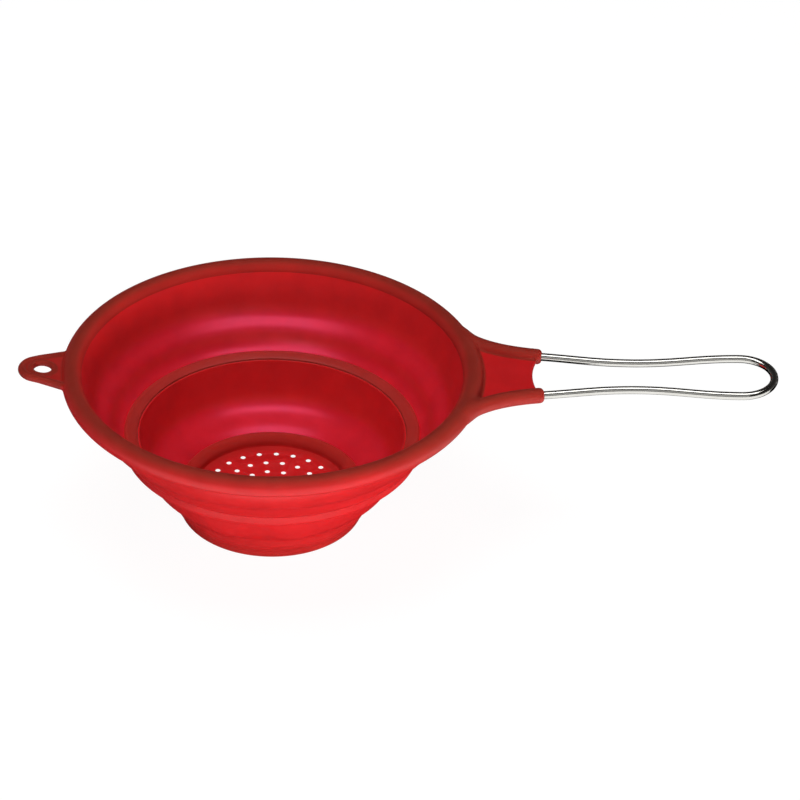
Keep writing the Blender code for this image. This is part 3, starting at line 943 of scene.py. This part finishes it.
    def build(self, material: bpy.types.Material) -> bpy.types.Object:
        """Wrap the moulding in a net and pull the net onto its surface.

        Args:
            material: The silicone.

        Returns:
            The moulding.
        """
        step = self.step
        low, high = np.array(self.low), np.array(self.high)
        counts = np.ceil((high - low) / step).astype(int) + 1
        axes = [low[axis] + np.arange(counts[axis]) * step for axis in range(3)]
        field = np.full(counts, self.far)
        flat_x, flat_y = np.meshgrid(axes[0], axes[1], indexing="ij")
        reach = np.abs(np.hypot(flat_x, flat_y) - self.route.hoop_radius)
        near_yoke, near_tab = self.zones(flat_x, flat_y)
        near_yoke &= flat_x ** 2 + flat_y ** 2 > self.yoke_inner ** 2
        near_bead = reach < self.bead_radius + self.bead_margin
        columns = np.nonzero(near_bead | near_yoke | near_tab)
        x, y = (np.repeat(axes[axis][columns[axis]], counts[2]) for axis in range(2))
        z = np.tile(axes[2], len(columns[0]))
        values = self.distance(np.stack([x, y, z], axis=1))
        field[columns] = values.reshape(-1, counts[2])
        points, faces = surface_net(field, low, step)
        for _ in range(self.pulls):
            normal = self.slope(points)
            size = np.maximum((normal ** 2).sum(axis=1, keepdims=True), self.least_slope)
            points = points - normal * self.distance(points)[:, None] / size
        item = make_object("rim_moulding", self.place.world(points), faces, material)
        normal = self.slope(points)
        normal /= np.linalg.norm(normal, axis=1, keepdims=True)
        item.data.normals_split_custom_set_from_vertices(normal.tolist())
        # Thickness with painted shade and a painted reflection, by tilt.
        set_attribute(item, DEPTH_AND_SHADE_ATTRIBUTE, self.depth_and_shade(points, normal))
        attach(item, Body.RIM.value)
        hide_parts("rim_bead", "handle_yoke", "hang_tab")
        return item


def join_spans(spans: tuple | list, spacing: float) -> tuple[np.ndarray, np.ndarray]:
    """Join smooth spans into one line, with a crease where two of them meet.

    Args:
        spans: The points of each span, and the depth with painted shade along it.
        spacing: The wanted distance between points.

    Returns:
        The points of the line and the depth, with painted shade, at each of them.
    """
    lines = [smooth_line(knots, spacing) for knots, _ in spans]
    joined = np.concatenate(lines)
    depth_and_shade = np.concatenate([np.full(len(line), span[1]) for line, span in zip(lines, spans)])
    apart = np.linalg.norm(joined - np.roll(joined, 1, axis=0), axis=1) > SAME_POINT_MM
    return joined[apart], depth_and_shade[apart]


@dataclass
class TurnedShell:
    """A zone of the bowl, turned about its axis from a section."""

    place: Placement
    steps: int = 240
    quick_steps: int = 120
    spacing: float = 0.55

    def angles(self) -> np.ndarray:
        """Give the turns at which the section stands, in radians."""
        return full_turn(self.steps)

    def turned(self, radius: np.ndarray, height: np.ndarray) -> np.ndarray:
        """Stand the section at each turn.

        Args:
            radius: Radius of the section's points, once or for each turn.
            height: Their height, likewise.

        Returns:
            The points in metres, one section after the other.
        """
        angle = self.angles()[:, None]
        x, y = radius * np.cos(angle), radius * np.sin(angle)
        points = np.stack([x, y, np.broadcast_to(height, x.shape)], axis=2)
        return self.place.world(points.reshape(-1, 3))


@dataclass
class FoldShell(TurnedShell):
    """A stiff wall and the thin fold below it, a little uneven as hands have pushed it.

    Wall and bend are the inside's points, as radius and height. Each dent has its azimuth, its
    width and its height. The section follows the dents more and more between the heights of
    give_from, and less and less between those of give_to.
    """

    wall: tuple = ()
    bend: tuple = ()
    fold_start: float = 0.0
    fold_end: float = 0.0
    dents: tuple = ()
    sway: float = 0.4
    give_from: tuple = ()
    give_to: tuple = ()
    wall_thickness: float = 2.0
    fold_thinning: float = 0.9
    thinning_z: tuple = ()
    outer_top: float = 0.0
    outer_end: float = -100.0
    # Leans of the fold's inside between which its painted highlight grows.
    highlight_lean: tuple = (20.0, 40.0)
    crease_deg: float = 50.0

    def unevenness(self, angle: np.ndarray) -> np.ndarray:
        """Height that the hand-pushed fold has lost or gained round the bowl.

        Args:
            angle: Turns about the axis, in radians.

        Returns:
            A height for each turn.
        """
        total = np.zeros(len(angle))
        for azimuth, width, shift in self.dents:
            off = (np.degrees(angle) - azimuth + 180.0) % 360.0 - 180.0
            total += shift * np.exp(-((off / width) ** 2))
        return total

    def inside(self) -> np.ndarray:
        """Draw the inside of the wall and of the fold, from the top down."""
        wall, bend = smooth_line(self.wall, self.spacing), smooth_line(self.bend, self.spacing)
        return np.concatenate([wall, bend[1:]])

    def outside(self, inner: np.ndarray, extra: float | np.ndarray = 0.0) -> np.ndarray:
        """Step from the inside to the outside, across the silicone.

        Args:
            inner: Points of the inside.
            extra: Thickness beyond that of the wall and the fold.

        Returns:
            Points of the outside, where it shows.
        """
        thinning = self.fold_thinning * soft_step(*self.thinning_z, inner[:, 1])
        thickness = self.wall_thickness - thinning + extra
        outer = inner + left_of(np.gradient(inner, axis=0)) * thickness[:, None]
        return outer[(outer[:, 1] < self.outer_top) & (outer[:, 1] > self.outer_end)]

    def painted_highlight(self, inner: np.ndarray) -> np.ndarray:
        """Find where the inside of the fold leans to face the light, for a painted highlight.

        Args:
            inner: Points of the inside, from the top down.

        Returns:
            The depth at each point, which is minus one, a painted highlight, where the fold leans
            most.
        """
        along = np.gradient(inner, axis=0)
        lean = np.degrees(np.arctan2(-along[:, 0], -along[:, 1]))
        # Painted highlight where the fold's slope faces the light.
        return -soft_step(*self.highlight_lean, lean)

    def shell(
        self, name: str, section: np.ndarray, depth_and_shade: np.ndarray, material: bpy.types.Material
    ) -> bpy.types.Object:
        """Turn a closed section about the bowl's axis.

        Args:
            name: The object's name.
            section: Radius and height of the section's points.
            depth_and_shade: Depth of the silicone at each of them, with painted shade.
            material: The silicone.

        Returns:
            The turned body.
        """
        height = section[:, 1]
        give = soft_step(*self.give_from, height) * soft_step(*self.give_to, height)
        angle = self.angles()
        shift = self.unevenness(angle)[:, None] * give
        points = self.turned(section[:, 0] - self.sway * shift, height + shift)
        faces = grid_faces(len(angle), len(section), True, True)
        item = make_object(name, points, faces, material)
        set_attribute(item, DEPTH_AND_SHADE_ATTRIBUTE, np.tile(depth_and_shade, len(angle)))
        item.data.set_sharp_from_angle(angle=math.radians(self.crease_deg))
        return item


@dataclass
class UpperShell(FoldShell):
    """The upper wall and the upper fold, from inside the bead down into the middle ring."""

    wall: tuple = ((90.6, 0.8), (86.8, -10.2))
    bend: tuple = (
        (86.8, -10.2), (85.6, -13.7), (84.1, -16.95), (82.0, -19.8), (79.3, -22.25),
        (77.0, -24.95), (75.2, -28.05), (73.1, -31.0), (71.4, -32.6), (70.0, -33.6),
    )
    root: tuple = ((93.8, -3.2), (92.4, -4.2), (91.5, -5.0))
    fold_start: float = -15.5
    fold_end: float = -31.9
    dents: tuple = (
        (80.0, 13.0, -0.4), (112.0, 16.0, 0.25), (35.0, 18.0, 0.3),
        (-60.0, 20.0, 0.3), (-125.0, 22.0, -0.3),
    )
    give_from: tuple = (-12.0, -20.0)
    give_to: tuple = (-32.0, -27.0)
    thinning_z: tuple = (-10.0, -19.0)
    outer_top: float = -5.6

    def build(self, material: bpy.types.Material) -> bpy.types.Object:
        """Turn the wall and the fold, which lies between the rim and the middle tier.

        Args:
            material: The silicone.

        Returns:
            The shell.
        """
        inner = self.inside()
        outer = self.outside(inner)
        root = smooth_line([*self.root, tuple(outer[0])], self.spacing)[:-1]
        section = np.concatenate([root, outer, inner[::-1]])
        plain = np.zeros(len(root) + len(outer))
        # The fold's inside gets a painted highlight where it faces the light.
        depth_and_shade = np.concatenate([plain, self.painted_highlight(inner)[::-1]])
        item = self.shell("upper_shell", section, depth_and_shade, material)
        start, end = self.place.on_axis(self.fold_start), self.place.on_axis(self.fold_end)
        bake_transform(item)
        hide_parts("upper_wall", "upper_fold")
        return item


@dataclass
class MiddleShell(FoldShell):
    """The middle ring, its wall and the lower fold, whose skirt laps over the base ring."""

    # Each span's number is its depth: the ledge's top, which faces up, gets painted shade, and the
    # riser under its inner edge a painted dark line.
    ledge: tuple = (
        (
            (
                (70.4, -32.4), (69.9, -31.95), (69.0, -31.75),
                (67.0, -32.0), (65.2, -32.4), (64.3, -32.75),
            ),
            0.65,
        ),
        (((64.3, -32.75), (64.15, -33.45)), 1.0),
        (((64.15, -33.45), (63.25, -33.5)), 0.0),
        (((63.25, -33.5), (62.8, -35.2)), 0.0),
    )
    ledge_spacing_share: float = 0.6
    wall: tuple = ((62.8, -35.2), (60.55, -44.4))
    bend: tuple = (
        (60.55, -44.4), (59.87, -46.81), (59.12, -49.19), (58.14, -51.49), (56.8, -53.59),
        (55.1, -55.42), (53.11, -56.93), (50.92, -58.14), (48.66, -59.2), (46.51, -60.47),
        (44.59, -62.07), (43.4, -63.1),
    )
    skirt: tuple = ((49.35, -62.0), (48.45, -63.6), (48.0, -65.3), (47.7, -66.7), (47.0, -67.8))
    skirt_back: tuple = ((45.2, -66.5), (43.6, -64.2))
    # Painted shade, darker towards the skirt's lower edge.
    skirt_painted_shade: float = 0.15
    skirt_painted_shade_z: tuple = (-60.0, -65.0)
    ring_edge: tuple = ((70.4, -32.4), (70.55, -33.1), (70.85, -33.7), (71.0, -34.4))
    ring_side: tuple = ((71.0, -34.4), (71.05, -36.2), (71.0, -38.0), (70.5, -38.7), (69.2, -39.1))
    ring_under: tuple = ((69.2, -39.1), (67.4, -39.5), (65.2, -40.2))
    fold_start: float = -49.7
    fold_end: float = -61.4
    dents: tuple = (
        (86.0, 15.0, -0.3), (-96.0, 7.0, 1.3), (-79.0, 10.0, -1.5),
        (-114.0, 9.0, -1.5), (20.0, 20.0, 0.3),
    )
    give_from: tuple = (-43.0, -50.0)
    give_to: tuple = (-62.5, -53.0)
    thinning_z: tuple = (-44.0, -52.0)
    root_thickening: float = 1.9
    root_z: tuple = (-55.5, -61.5)
    outer_top: float = -41.0
    outer_end: float = -60.4

    def build(self, material: bpy.types.Material) -> bpy.types.Object:
        """Turn the tier and the lower fold, which lies between the middle and the base.

        Args:
            material: The silicone.

        Returns:
            The shell.
        """
        ledge, ledge_depth_and_shade = join_spans(self.ledge, self.spacing * self.ledge_spacing_share)
        inner = self.inside()
        thickening = self.root_thickening * soft_step(*self.root_z, inner[:, 1])
        outer = self.outside(inner, thickening)
        skirt = smooth_line([tuple(outer[-1]), *self.skirt], self.spacing)
        skirt = np.concatenate([skirt[1:], self.skirt_back])
        spans = (self.ring_edge, self.ring_side, (*self.ring_under, tuple(outer[0])))
        ring, plain = join_spans([(points, 0.0) for points in spans], self.spacing)
        section = np.concatenate([ring[:-1], outer, skirt, inner[:0:-1], ledge[:0:-1]])
        # Painted shade on the skirt and the ledge, a painted highlight on the fold.
        depth_and_shade = np.concatenate(
            [
                plain[:-1],
                np.zeros(len(outer)),
                self.skirt_painted_shade * soft_step(*self.skirt_painted_shade_z, skirt[:, 1]),
                self.painted_highlight(inner)[:0:-1],
                ledge_depth_and_shade[:0:-1],
            ]
        )
        item = self.shell("middle_shell", section, depth_and_shade, material)
        start, end = self.place.on_axis(self.fold_start), self.place.on_axis(self.fold_end)
        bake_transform(item)
        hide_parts("middle_tier", "lower_fold")
        return item


@dataclass
class BaseShell(TurnedShell):
    """The base ring, the foot and the strainer floor with its holes."""

    floor_top: float = -65.8
    floor_bottom: float = -67.0
    floor_edge: float = 36.5
    hole_radius: float = 1.2
    hole_under_radius: float = 3.0
    hole_lip: float = 0.25
    hole_lip_shares: tuple = (1.6, 0.35)
    hole_sides: int = 24
    cut_above: float = 0.1
    cut_below: float = 0.2
    ring_spacing: float = 7.6
    ring_counts: tuple = (6, 12, 18, 23)
    ring_phases_deg: tuple = (30.0, 8.0, 17.0, 7.6)
    crease_deg: float = 40.0
    crest_in: tuple = (
        (36.95, -65.2), (37.15, -63.9), (37.8, -62.6), (38.9, -61.75), (40.6, -61.3),
        (42.4, -61.25),
    )
    crest_out: tuple = (
        (42.4, -61.25), (43.1, -61.6), (43.6, -62.4), (44.4, -62.9), (45.6, -63.0), (46.6, -63.3),
    )
    side: tuple = (
        (46.6, -63.3), (47.1, -64.0), (47.25, -65.3), (47.2, -66.9), (46.95, -68.1),
        (46.3, -69.4),
    )
    taper: tuple = ((46.3, -69.4), (45.2, -71.1), (44.2, -72.9))
    foot: tuple = ((44.2, -72.9), (43.75, -74.6), (42.5, -75.9), (40.6, -76.45))
    sole: tuple = ((40.6, -76.45), (40.2, -76.5), (38.8, -76.5), (38.2, -76.2))
    recess: tuple = ((38.2, -76.2), (38.0, -75.4), (38.0, -69.0), (37.9, -67.9), (37.2, -67.2))

    def section(self) -> tuple[np.ndarray, np.ndarray]:
        """Draw the half section, from the middle of the floor's top out, down and back.

        Returns:
            The points and the depth of the silicone, with painted shade, at each of them.
        """
        # Each span's number is its depth with painted shade: browner on the crest, which faces up,
        # and darker down the taper and the foot.
        spans = (
            (((self.floor_edge, self.floor_top), (36.8, -65.65), self.crest_in[0]), 0.3),
            (self.crest_in, 0.6),
            (self.crest_out, 0.3),
            (self.side, 0.2),
            (self.taper, 0.35),
            (self.foot, 0.5),
            (self.sole, 0.0),
            (self.recess, 0.0),
            ((self.recess[-1], (self.floor_edge, self.floor_bottom)), 0.0),
        )
        return join_spans(spans, self.spacing)

    def holes(self) -> list[tuple[float, float]]:
        """List the places of the strainer holes.

        Returns:
            The x and y of each hole.
        """
        places = [(0.0, 0.0)]
        for ring, (count, phase) in enumerate(zip(self.ring_counts, self.ring_phases_deg), 1):
            for index in range(count):
                turn = math.radians(phase + 360.0 * index / count)
                radius = ring * self.ring_spacing
                places.append((radius * math.cos(turn), radius * math.sin(turn)))
        return places

    def drills(self) -> bpy.types.Object:
        """Make the flared drills that cut the holes.

        Returns:
            One object with all the drills.
        """
        top, bottom = self.floor_top, self.floor_bottom
        flare = (self.hole_under_radius - self.hole_radius) / (top - self.hole_lip - bottom)
        wide, narrow = (self.hole_radius + self.hole_lip * share for share in self.hole_lip_shares)
        profile = (
            (wide, top + self.cut_above),
            (narrow, top - self.cut_above),
            (self.hole_radius, top - self.hole_lip),
            (self.hole_under_radius + flare * self.cut_below, bottom - self.cut_below),
        )
        sides = self.hole_sides
        turn = full_turn(sides)
        points, faces = [], []
        for x, y in self.holes():
            base = len(points)
            for radius, z in profile:
                points += [(x + radius * math.cos(t), y + radius * math.sin(t), z) for t in turn]
            ring = grid_faces(len(profile), sides, False, True) + base
            faces += [tuple(int(corner) for corner in face) for face in ring]
            last = base + (len(profile) - 1) * sides
            faces += [tuple(range(first, first + sides)) for first in (base, last)]
        world = self.place.world(np.array(points))
        return make_object("hole_drills", world, faces, bpy.data.materials.new("cutter"))

    def build(self, material: bpy.types.Material) -> bpy.types.Object:
        """Turn the base, close it with the floor and cut the holes.

        Args:
            material: The silicone.

        Returns:
            The shell.
        """
        section, depth_and_shade = self.section()
        steps, width = len(self.angles()), len(section)
        faces = [tuple(face) for face in grid_faces(steps, width, True, False)]
        faces += [tuple(index * width + end for index in range(steps)) for end in (0, width - 1)]
        points = self.turned(section[:, 0], section[:, 1])
        item = make_object("base_shell", points, faces, material)
        set_attribute(item, DEPTH_AND_SHADE_ATTRIBUTE, np.tile(depth_and_shade, steps))
        drills = self.drills()
        cut = item.modifiers.new("Holes", "BOOLEAN")
        cut.operation = "DIFFERENCE"
        cut.solver = "EXACT"
        cut.object = drills
        bpy.context.view_layer.update()
        graph = bpy.context.evaluated_depsgraph_get()
        finished = bpy.data.meshes.new_from_object(item.evaluated_get(graph))
        item.modifiers.clear()
        item.data = finished
        while len(finished.materials) > 1:
            finished.materials.pop()
        finished.shade_smooth()
        finished.set_sharp_from_angle(angle=math.radians(self.crease_deg))
        bpy.data.objects.remove(drills, do_unlink=True)
        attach(item, Body.BASE.value)
        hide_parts("base_tier", "strainer_floor")
        return item


@dataclass
class Softbox:
    """A large, even studio lamp that looks at the bowl, in degrees, metres and watts."""

    name: str
    azimuth_deg: float
    elevation_deg: float
    distance: float
    width: float
    height: float
    power: float
    colour: str = "#ffffff"
    glossy: bool = True
    diffuse: bool = True
    lit_pieces: tuple = ()

    def build(self, target: Vector) -> bpy.types.Object:
        """Hang the lamp and turn it to the target.

        Args:
            target: The point that the lamp looks at, in metres.

        Returns:
            The lamp.
        """
        data = bpy.data.lights.new(self.name, "AREA")
        data.shape = "RECTANGLE"
        data.size, data.size_y = self.width, self.height
        data.energy = self.power
        data.color = linear(self.colour)[:3]
        lamp = bpy.data.objects.new(self.name, data)
        bpy.context.scene.collection.objects.link(lamp)
        turn, rise = math.radians(self.azimuth_deg), math.radians(self.elevation_deg)
        level = math.cos(rise)
        away = Vector((level * math.sin(turn), -level * math.cos(turn), math.sin(rise)))
        lamp.location = target + away * self.distance
        lamp.rotation_euler = away.to_track_quat("Z", "Y").to_euler()
        lamp.visible_camera = False
        lamp.visible_glossy = self.glossy
        lamp.visible_diffuse = self.diffuse
        if self.lit_pieces:
            group = bpy.data.collections.new(self.name + "_pieces")
            for name in self.lit_pieces:
                group.objects.link(bpy.data.objects[name])
            lamp.light_linking.receiver_collection = group
        return lamp


@dataclass
class Studio:
    """The white floor, a white card, a black cloth, the lamps and the surround, in metres."""

    place: Placement
    floor_half_width: float = 3.0
    floor_cells: int = 12
    floor_z: float = -0.0004
    card_radius: float = 0.0375
    card_height: float = 0.0083
    card_edge: float = 0.001
    card_steps: int = 48
    card_crease_deg: float = 30.0
    flag_z: float = 0.0005
    flag_front: float = -0.1
    flag_cell: float = 0.1
    flag_corners: tuple = (31, 18)
    handle_flag_start: float = 0.08
    overhead_tone: str = "#1e1c1c"
    level_tone: str = "#424140"
    target_z: float = 0.04

    def sheet(
        self,
        name: str,
        lines: tuple[np.ndarray, np.ndarray],
        z: float,
        material: bpy.types.Material,
        gap: tuple[float, float] | None = None,
    ) -> bpy.types.Object:
        """Lay a flat grid on the stage.

        Args:
            name: The object's name.
            lines: The places of the grid's lines along X and along Y.
            z: The height of the grid.
            material: Its material.
            gap: An x and a y, beyond and before which the sheet is cut away.

        Returns:
            The sheet.
        """
        x, y = np.meshgrid(*lines, indexing="ij")
        points = np.stack([x, y, np.full_like(x, z)], axis=2).reshape(-1, 3)
        faces = grid_faces(len(lines[0]), len(lines[1]), False, False)
        if gap:
            centre = points[faces].mean(axis=1)
            faces = faces[(centre[:, 0] < gap[0]) | (centre[:, 1] > gap[1])]
        item = make_object(name, points, faces, material)
        return item

    def card(self, material: bpy.types.Material) -> None:
        """Lay a round white card inside the foot, which shows through the strainer holes.

        Args:
            material: The white paper.
        """
        count, edge = self.card_steps, self.card_edge
        inset = self.card_radius - edge
        profile = (
            (inset, self.card_height),
            (self.card_radius, self.card_height - edge),
            (self.card_radius, edge),
            (inset, 0.0),
        )
        centre = np.array([self.place.axis_x, 0.0])
        rows = [
            np.column_stack([circle_points(radius, full_turn(count)) + centre, np.full(count, z)])
            for radius, z in profile
        ]
        last = (len(rows) - 1) * count
        faces = [tuple(face) for face in grid_faces(len(rows), count, False, True)]
        faces += [tuple(range(first, first + count)) for first in (0, last)]
        item = make_object("drip_card", np.concatenate(rows), faces, material)
        item.data.set_sharp_from_angle(angle=math.radians(self.card_crease_deg))

    def flag(self, material: bpy.types.Material) -> None:
        """Lay a black cloth under the colander and behind it, which only shows in gloss.

        It gives the wire its dark edges. Under the bowl it stands in for the bowl's shadow on the
        floor, a painted shadow that the slanted walls reflect instead of the white floor. In front
        of the handle it is cut away.

        Args:
            material: The black velvet.
        """
        columns, rows = self.flag_corners
        line_x = self.handle_flag_start + self.flag_cell * (np.arange(columns) - columns // 2)
        line_y = self.flag_front + self.flag_cell * np.arange(rows)
        gap = (self.handle_flag_start, self.flag_front + self.flag_cell)
        # Under the bowl this sheet is a painted shadow, seen only in gloss.
        item = self.sheet("floor_flag", (line_x, line_y), self.flag_z, material, gap)
        for ray in ("camera", "diffuse", "transmission", "shadow"):
            setattr(item, "visible_" + ray, False)

    def surround(self) -> None:
        """Light the scene from all round, darker overhead, and show plain white to the camera."""
        world = bpy.data.worlds.new("studio_surround")
        bpy.context.scene.world = world
        world.use_nodes = True
        tree = world.node_tree
        tree.nodes.clear()
        direction = add_node(tree, "TexCoord").outputs["Generated"]
        parts = add_node(tree, "SeparateXYZ", {"Vector": direction})
        ramp = {"From Min": 0.0, "From Max": 0.7, "To Min": 1.0, "To Max": 0.0}
        rise = add_node(
            tree,
            "MapRange",
            {"Value": parts.outputs["Z"], **ramp},
            interpolation_type="SMOOTHSTEP",
        )
        tones = {COLOUR_A: linear(self.overhead_tone), COLOUR_B: linear(self.level_tone)}
        tone = add_node(tree, "Mix", {"Factor": rise, **tones}, data_type="RGBA")
        room = add_node(tree, "Background", {"Color": tone.outputs[COLOUR_RESULT]})
        white = add_node(tree, "Background", {"Color": linear("#ffffff"), "Strength": 1.0})
        seen = add_node(tree, "LightPath").outputs["Is Camera Ray"]
        mixed = add_node(tree, "MixShader", {"Fac": seen, 1: room, 2: white})
        add_node(tree, "OutputWorld", {"Surface": mixed})

    def build(self, paper: WhitePaper, velvet: BlackVelvet) -> None:
        """Set up the whole studio.

        Args:
            paper: The finish of the floor and of the card.
            velvet: The finish of the flag.
        """
        material = paper.build()
        line = np.linspace(-self.floor_half_width, self.floor_half_width, self.floor_cells + 1)
        self.sheet("floor", (line, line), self.floor_z, material)
        self.card(material)
        self.flag(velvet.build())
        self.surround()
        target = Vector((self.place.axis_x, 0.0, self.target_z))
        folds, wire = ("upper_shell", "middle_shell"), ("handle_wire",)
        soft = {"glossy": False}
        sky, line_light = ({"diffuse": False, "lit_pieces": pieces} for pieces in (folds, wire))
        for lamp in (
            Softbox("light_table", 0.0, -90.0, 0.0402, 1.8, 1.4, 2.9, **soft),
            Softbox("strainer_light", 0.0, -90.0, 0.0316, 0.05, 0.05, 0.006, **soft),
            Softbox("front_low_softbox", 24.0, 4.0, 1.6, 0.6, 0.16, 12.0, **soft),
            Softbox("right_low_softbox", 80.0, 3.5, 1.6, 0.5, 0.12, 4.4, **soft),
            Softbox("front_softbox", 0.0, 34.0, 1.5, 1.0, 0.5, 4.2, **soft),
            Softbox("overhead_softbox", -90.0, 84.0, 1.5, 1.0, 1.0, 13.0, **soft),
            Softbox("sky_window", 0.0, 68.0, 1.5, 1.7, 0.5, 38.0, **sky),
            Softbox("wire_softbox", 0.0, 90.0, 1.0, 1.6, 0.5, 6.0, **line_light),
            Softbox("wire_front_softbox", 0.0, 33.0, 1.4, 1.6, 0.9, 1.6, **line_light),
        ):
            lamp.build(target)


@dataclass(frozen=True)
class PhotoCamera:
    """A long lens far off, level with the photograph's view."""

    place: Placement
    distance_mm: float = 2979.8
    elevation_deg: float = 33.110
    aim_x_mm: float = 60.21
    aim_y_mm: float = -21.61
    focal_px: float = 6284.7
    image_px: float = 800.0
    sensor_mm: float = 36.0
    roll_deg: float = 1.177
    clip_end: float = 100.0

    def build(self) -> None:
        """Set up the camera."""
        rise = math.radians(self.elevation_deg)
        eye_mm = np.array([0.0, -math.cos(rise), math.sin(rise)]) * self.distance_mm
        eye = Vector(self.place.world(eye_mm))
        aim = Vector(self.place.world(np.array([self.aim_x_mm, self.aim_y_mm, 0.0])))
        ahead = (aim - eye).normalized()
        right = ahead.cross(Vector((0.0, 0.0, 1.0))).normalized()
        up = right.cross(ahead)
        roll = math.radians(self.roll_deg)
        rolled_right = right * math.cos(roll) + up * math.sin(roll)
        rolled_up = up * math.cos(roll) - right * math.sin(roll)
        data = bpy.data.cameras.new("photo_camera")
        data.sensor_width = self.sensor_mm
        data.lens = self.focal_px * self.sensor_mm / self.image_px
        data.clip_end = self.clip_end
        camera = bpy.data.objects.new("photo_camera", data)
        bpy.context.scene.collection.objects.link(camera)
        axes = Matrix((rolled_right, rolled_up, -ahead)).transposed().to_4x4()
        camera.matrix_world = Matrix.Translation(eye) @ axes
        bpy.context.scene.camera = camera


def main() -> None:
    """Build every piece in order and report each."""
    logging.basicConfig(level=logging.INFO, format="%(name)s: %(message)s")
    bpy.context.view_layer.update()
    place = read_placement()
    route = WireRoute()
    PhotoCamera(place).build()
    silicone = MouldedSilicone().build()
    pieces = [
        RimMoulding(route, place).build(silicone),
        UpperShell(place).build(silicone),
        MiddleShell(place).build(silicone),
        BaseShell(place).build(silicone),
        HandleWire(route, place).build(DrawnWire().build()),
    ]
    for piece in pieces:
        LOG.info("%s has %d faces", piece.name, len(piece.data.polygons))
    Studio(place).build(WhitePaper(), BlackVelvet())
    bpy.context.scene.view_settings.view_transform = "Standard"


if __name__ == "__main__":
    main()
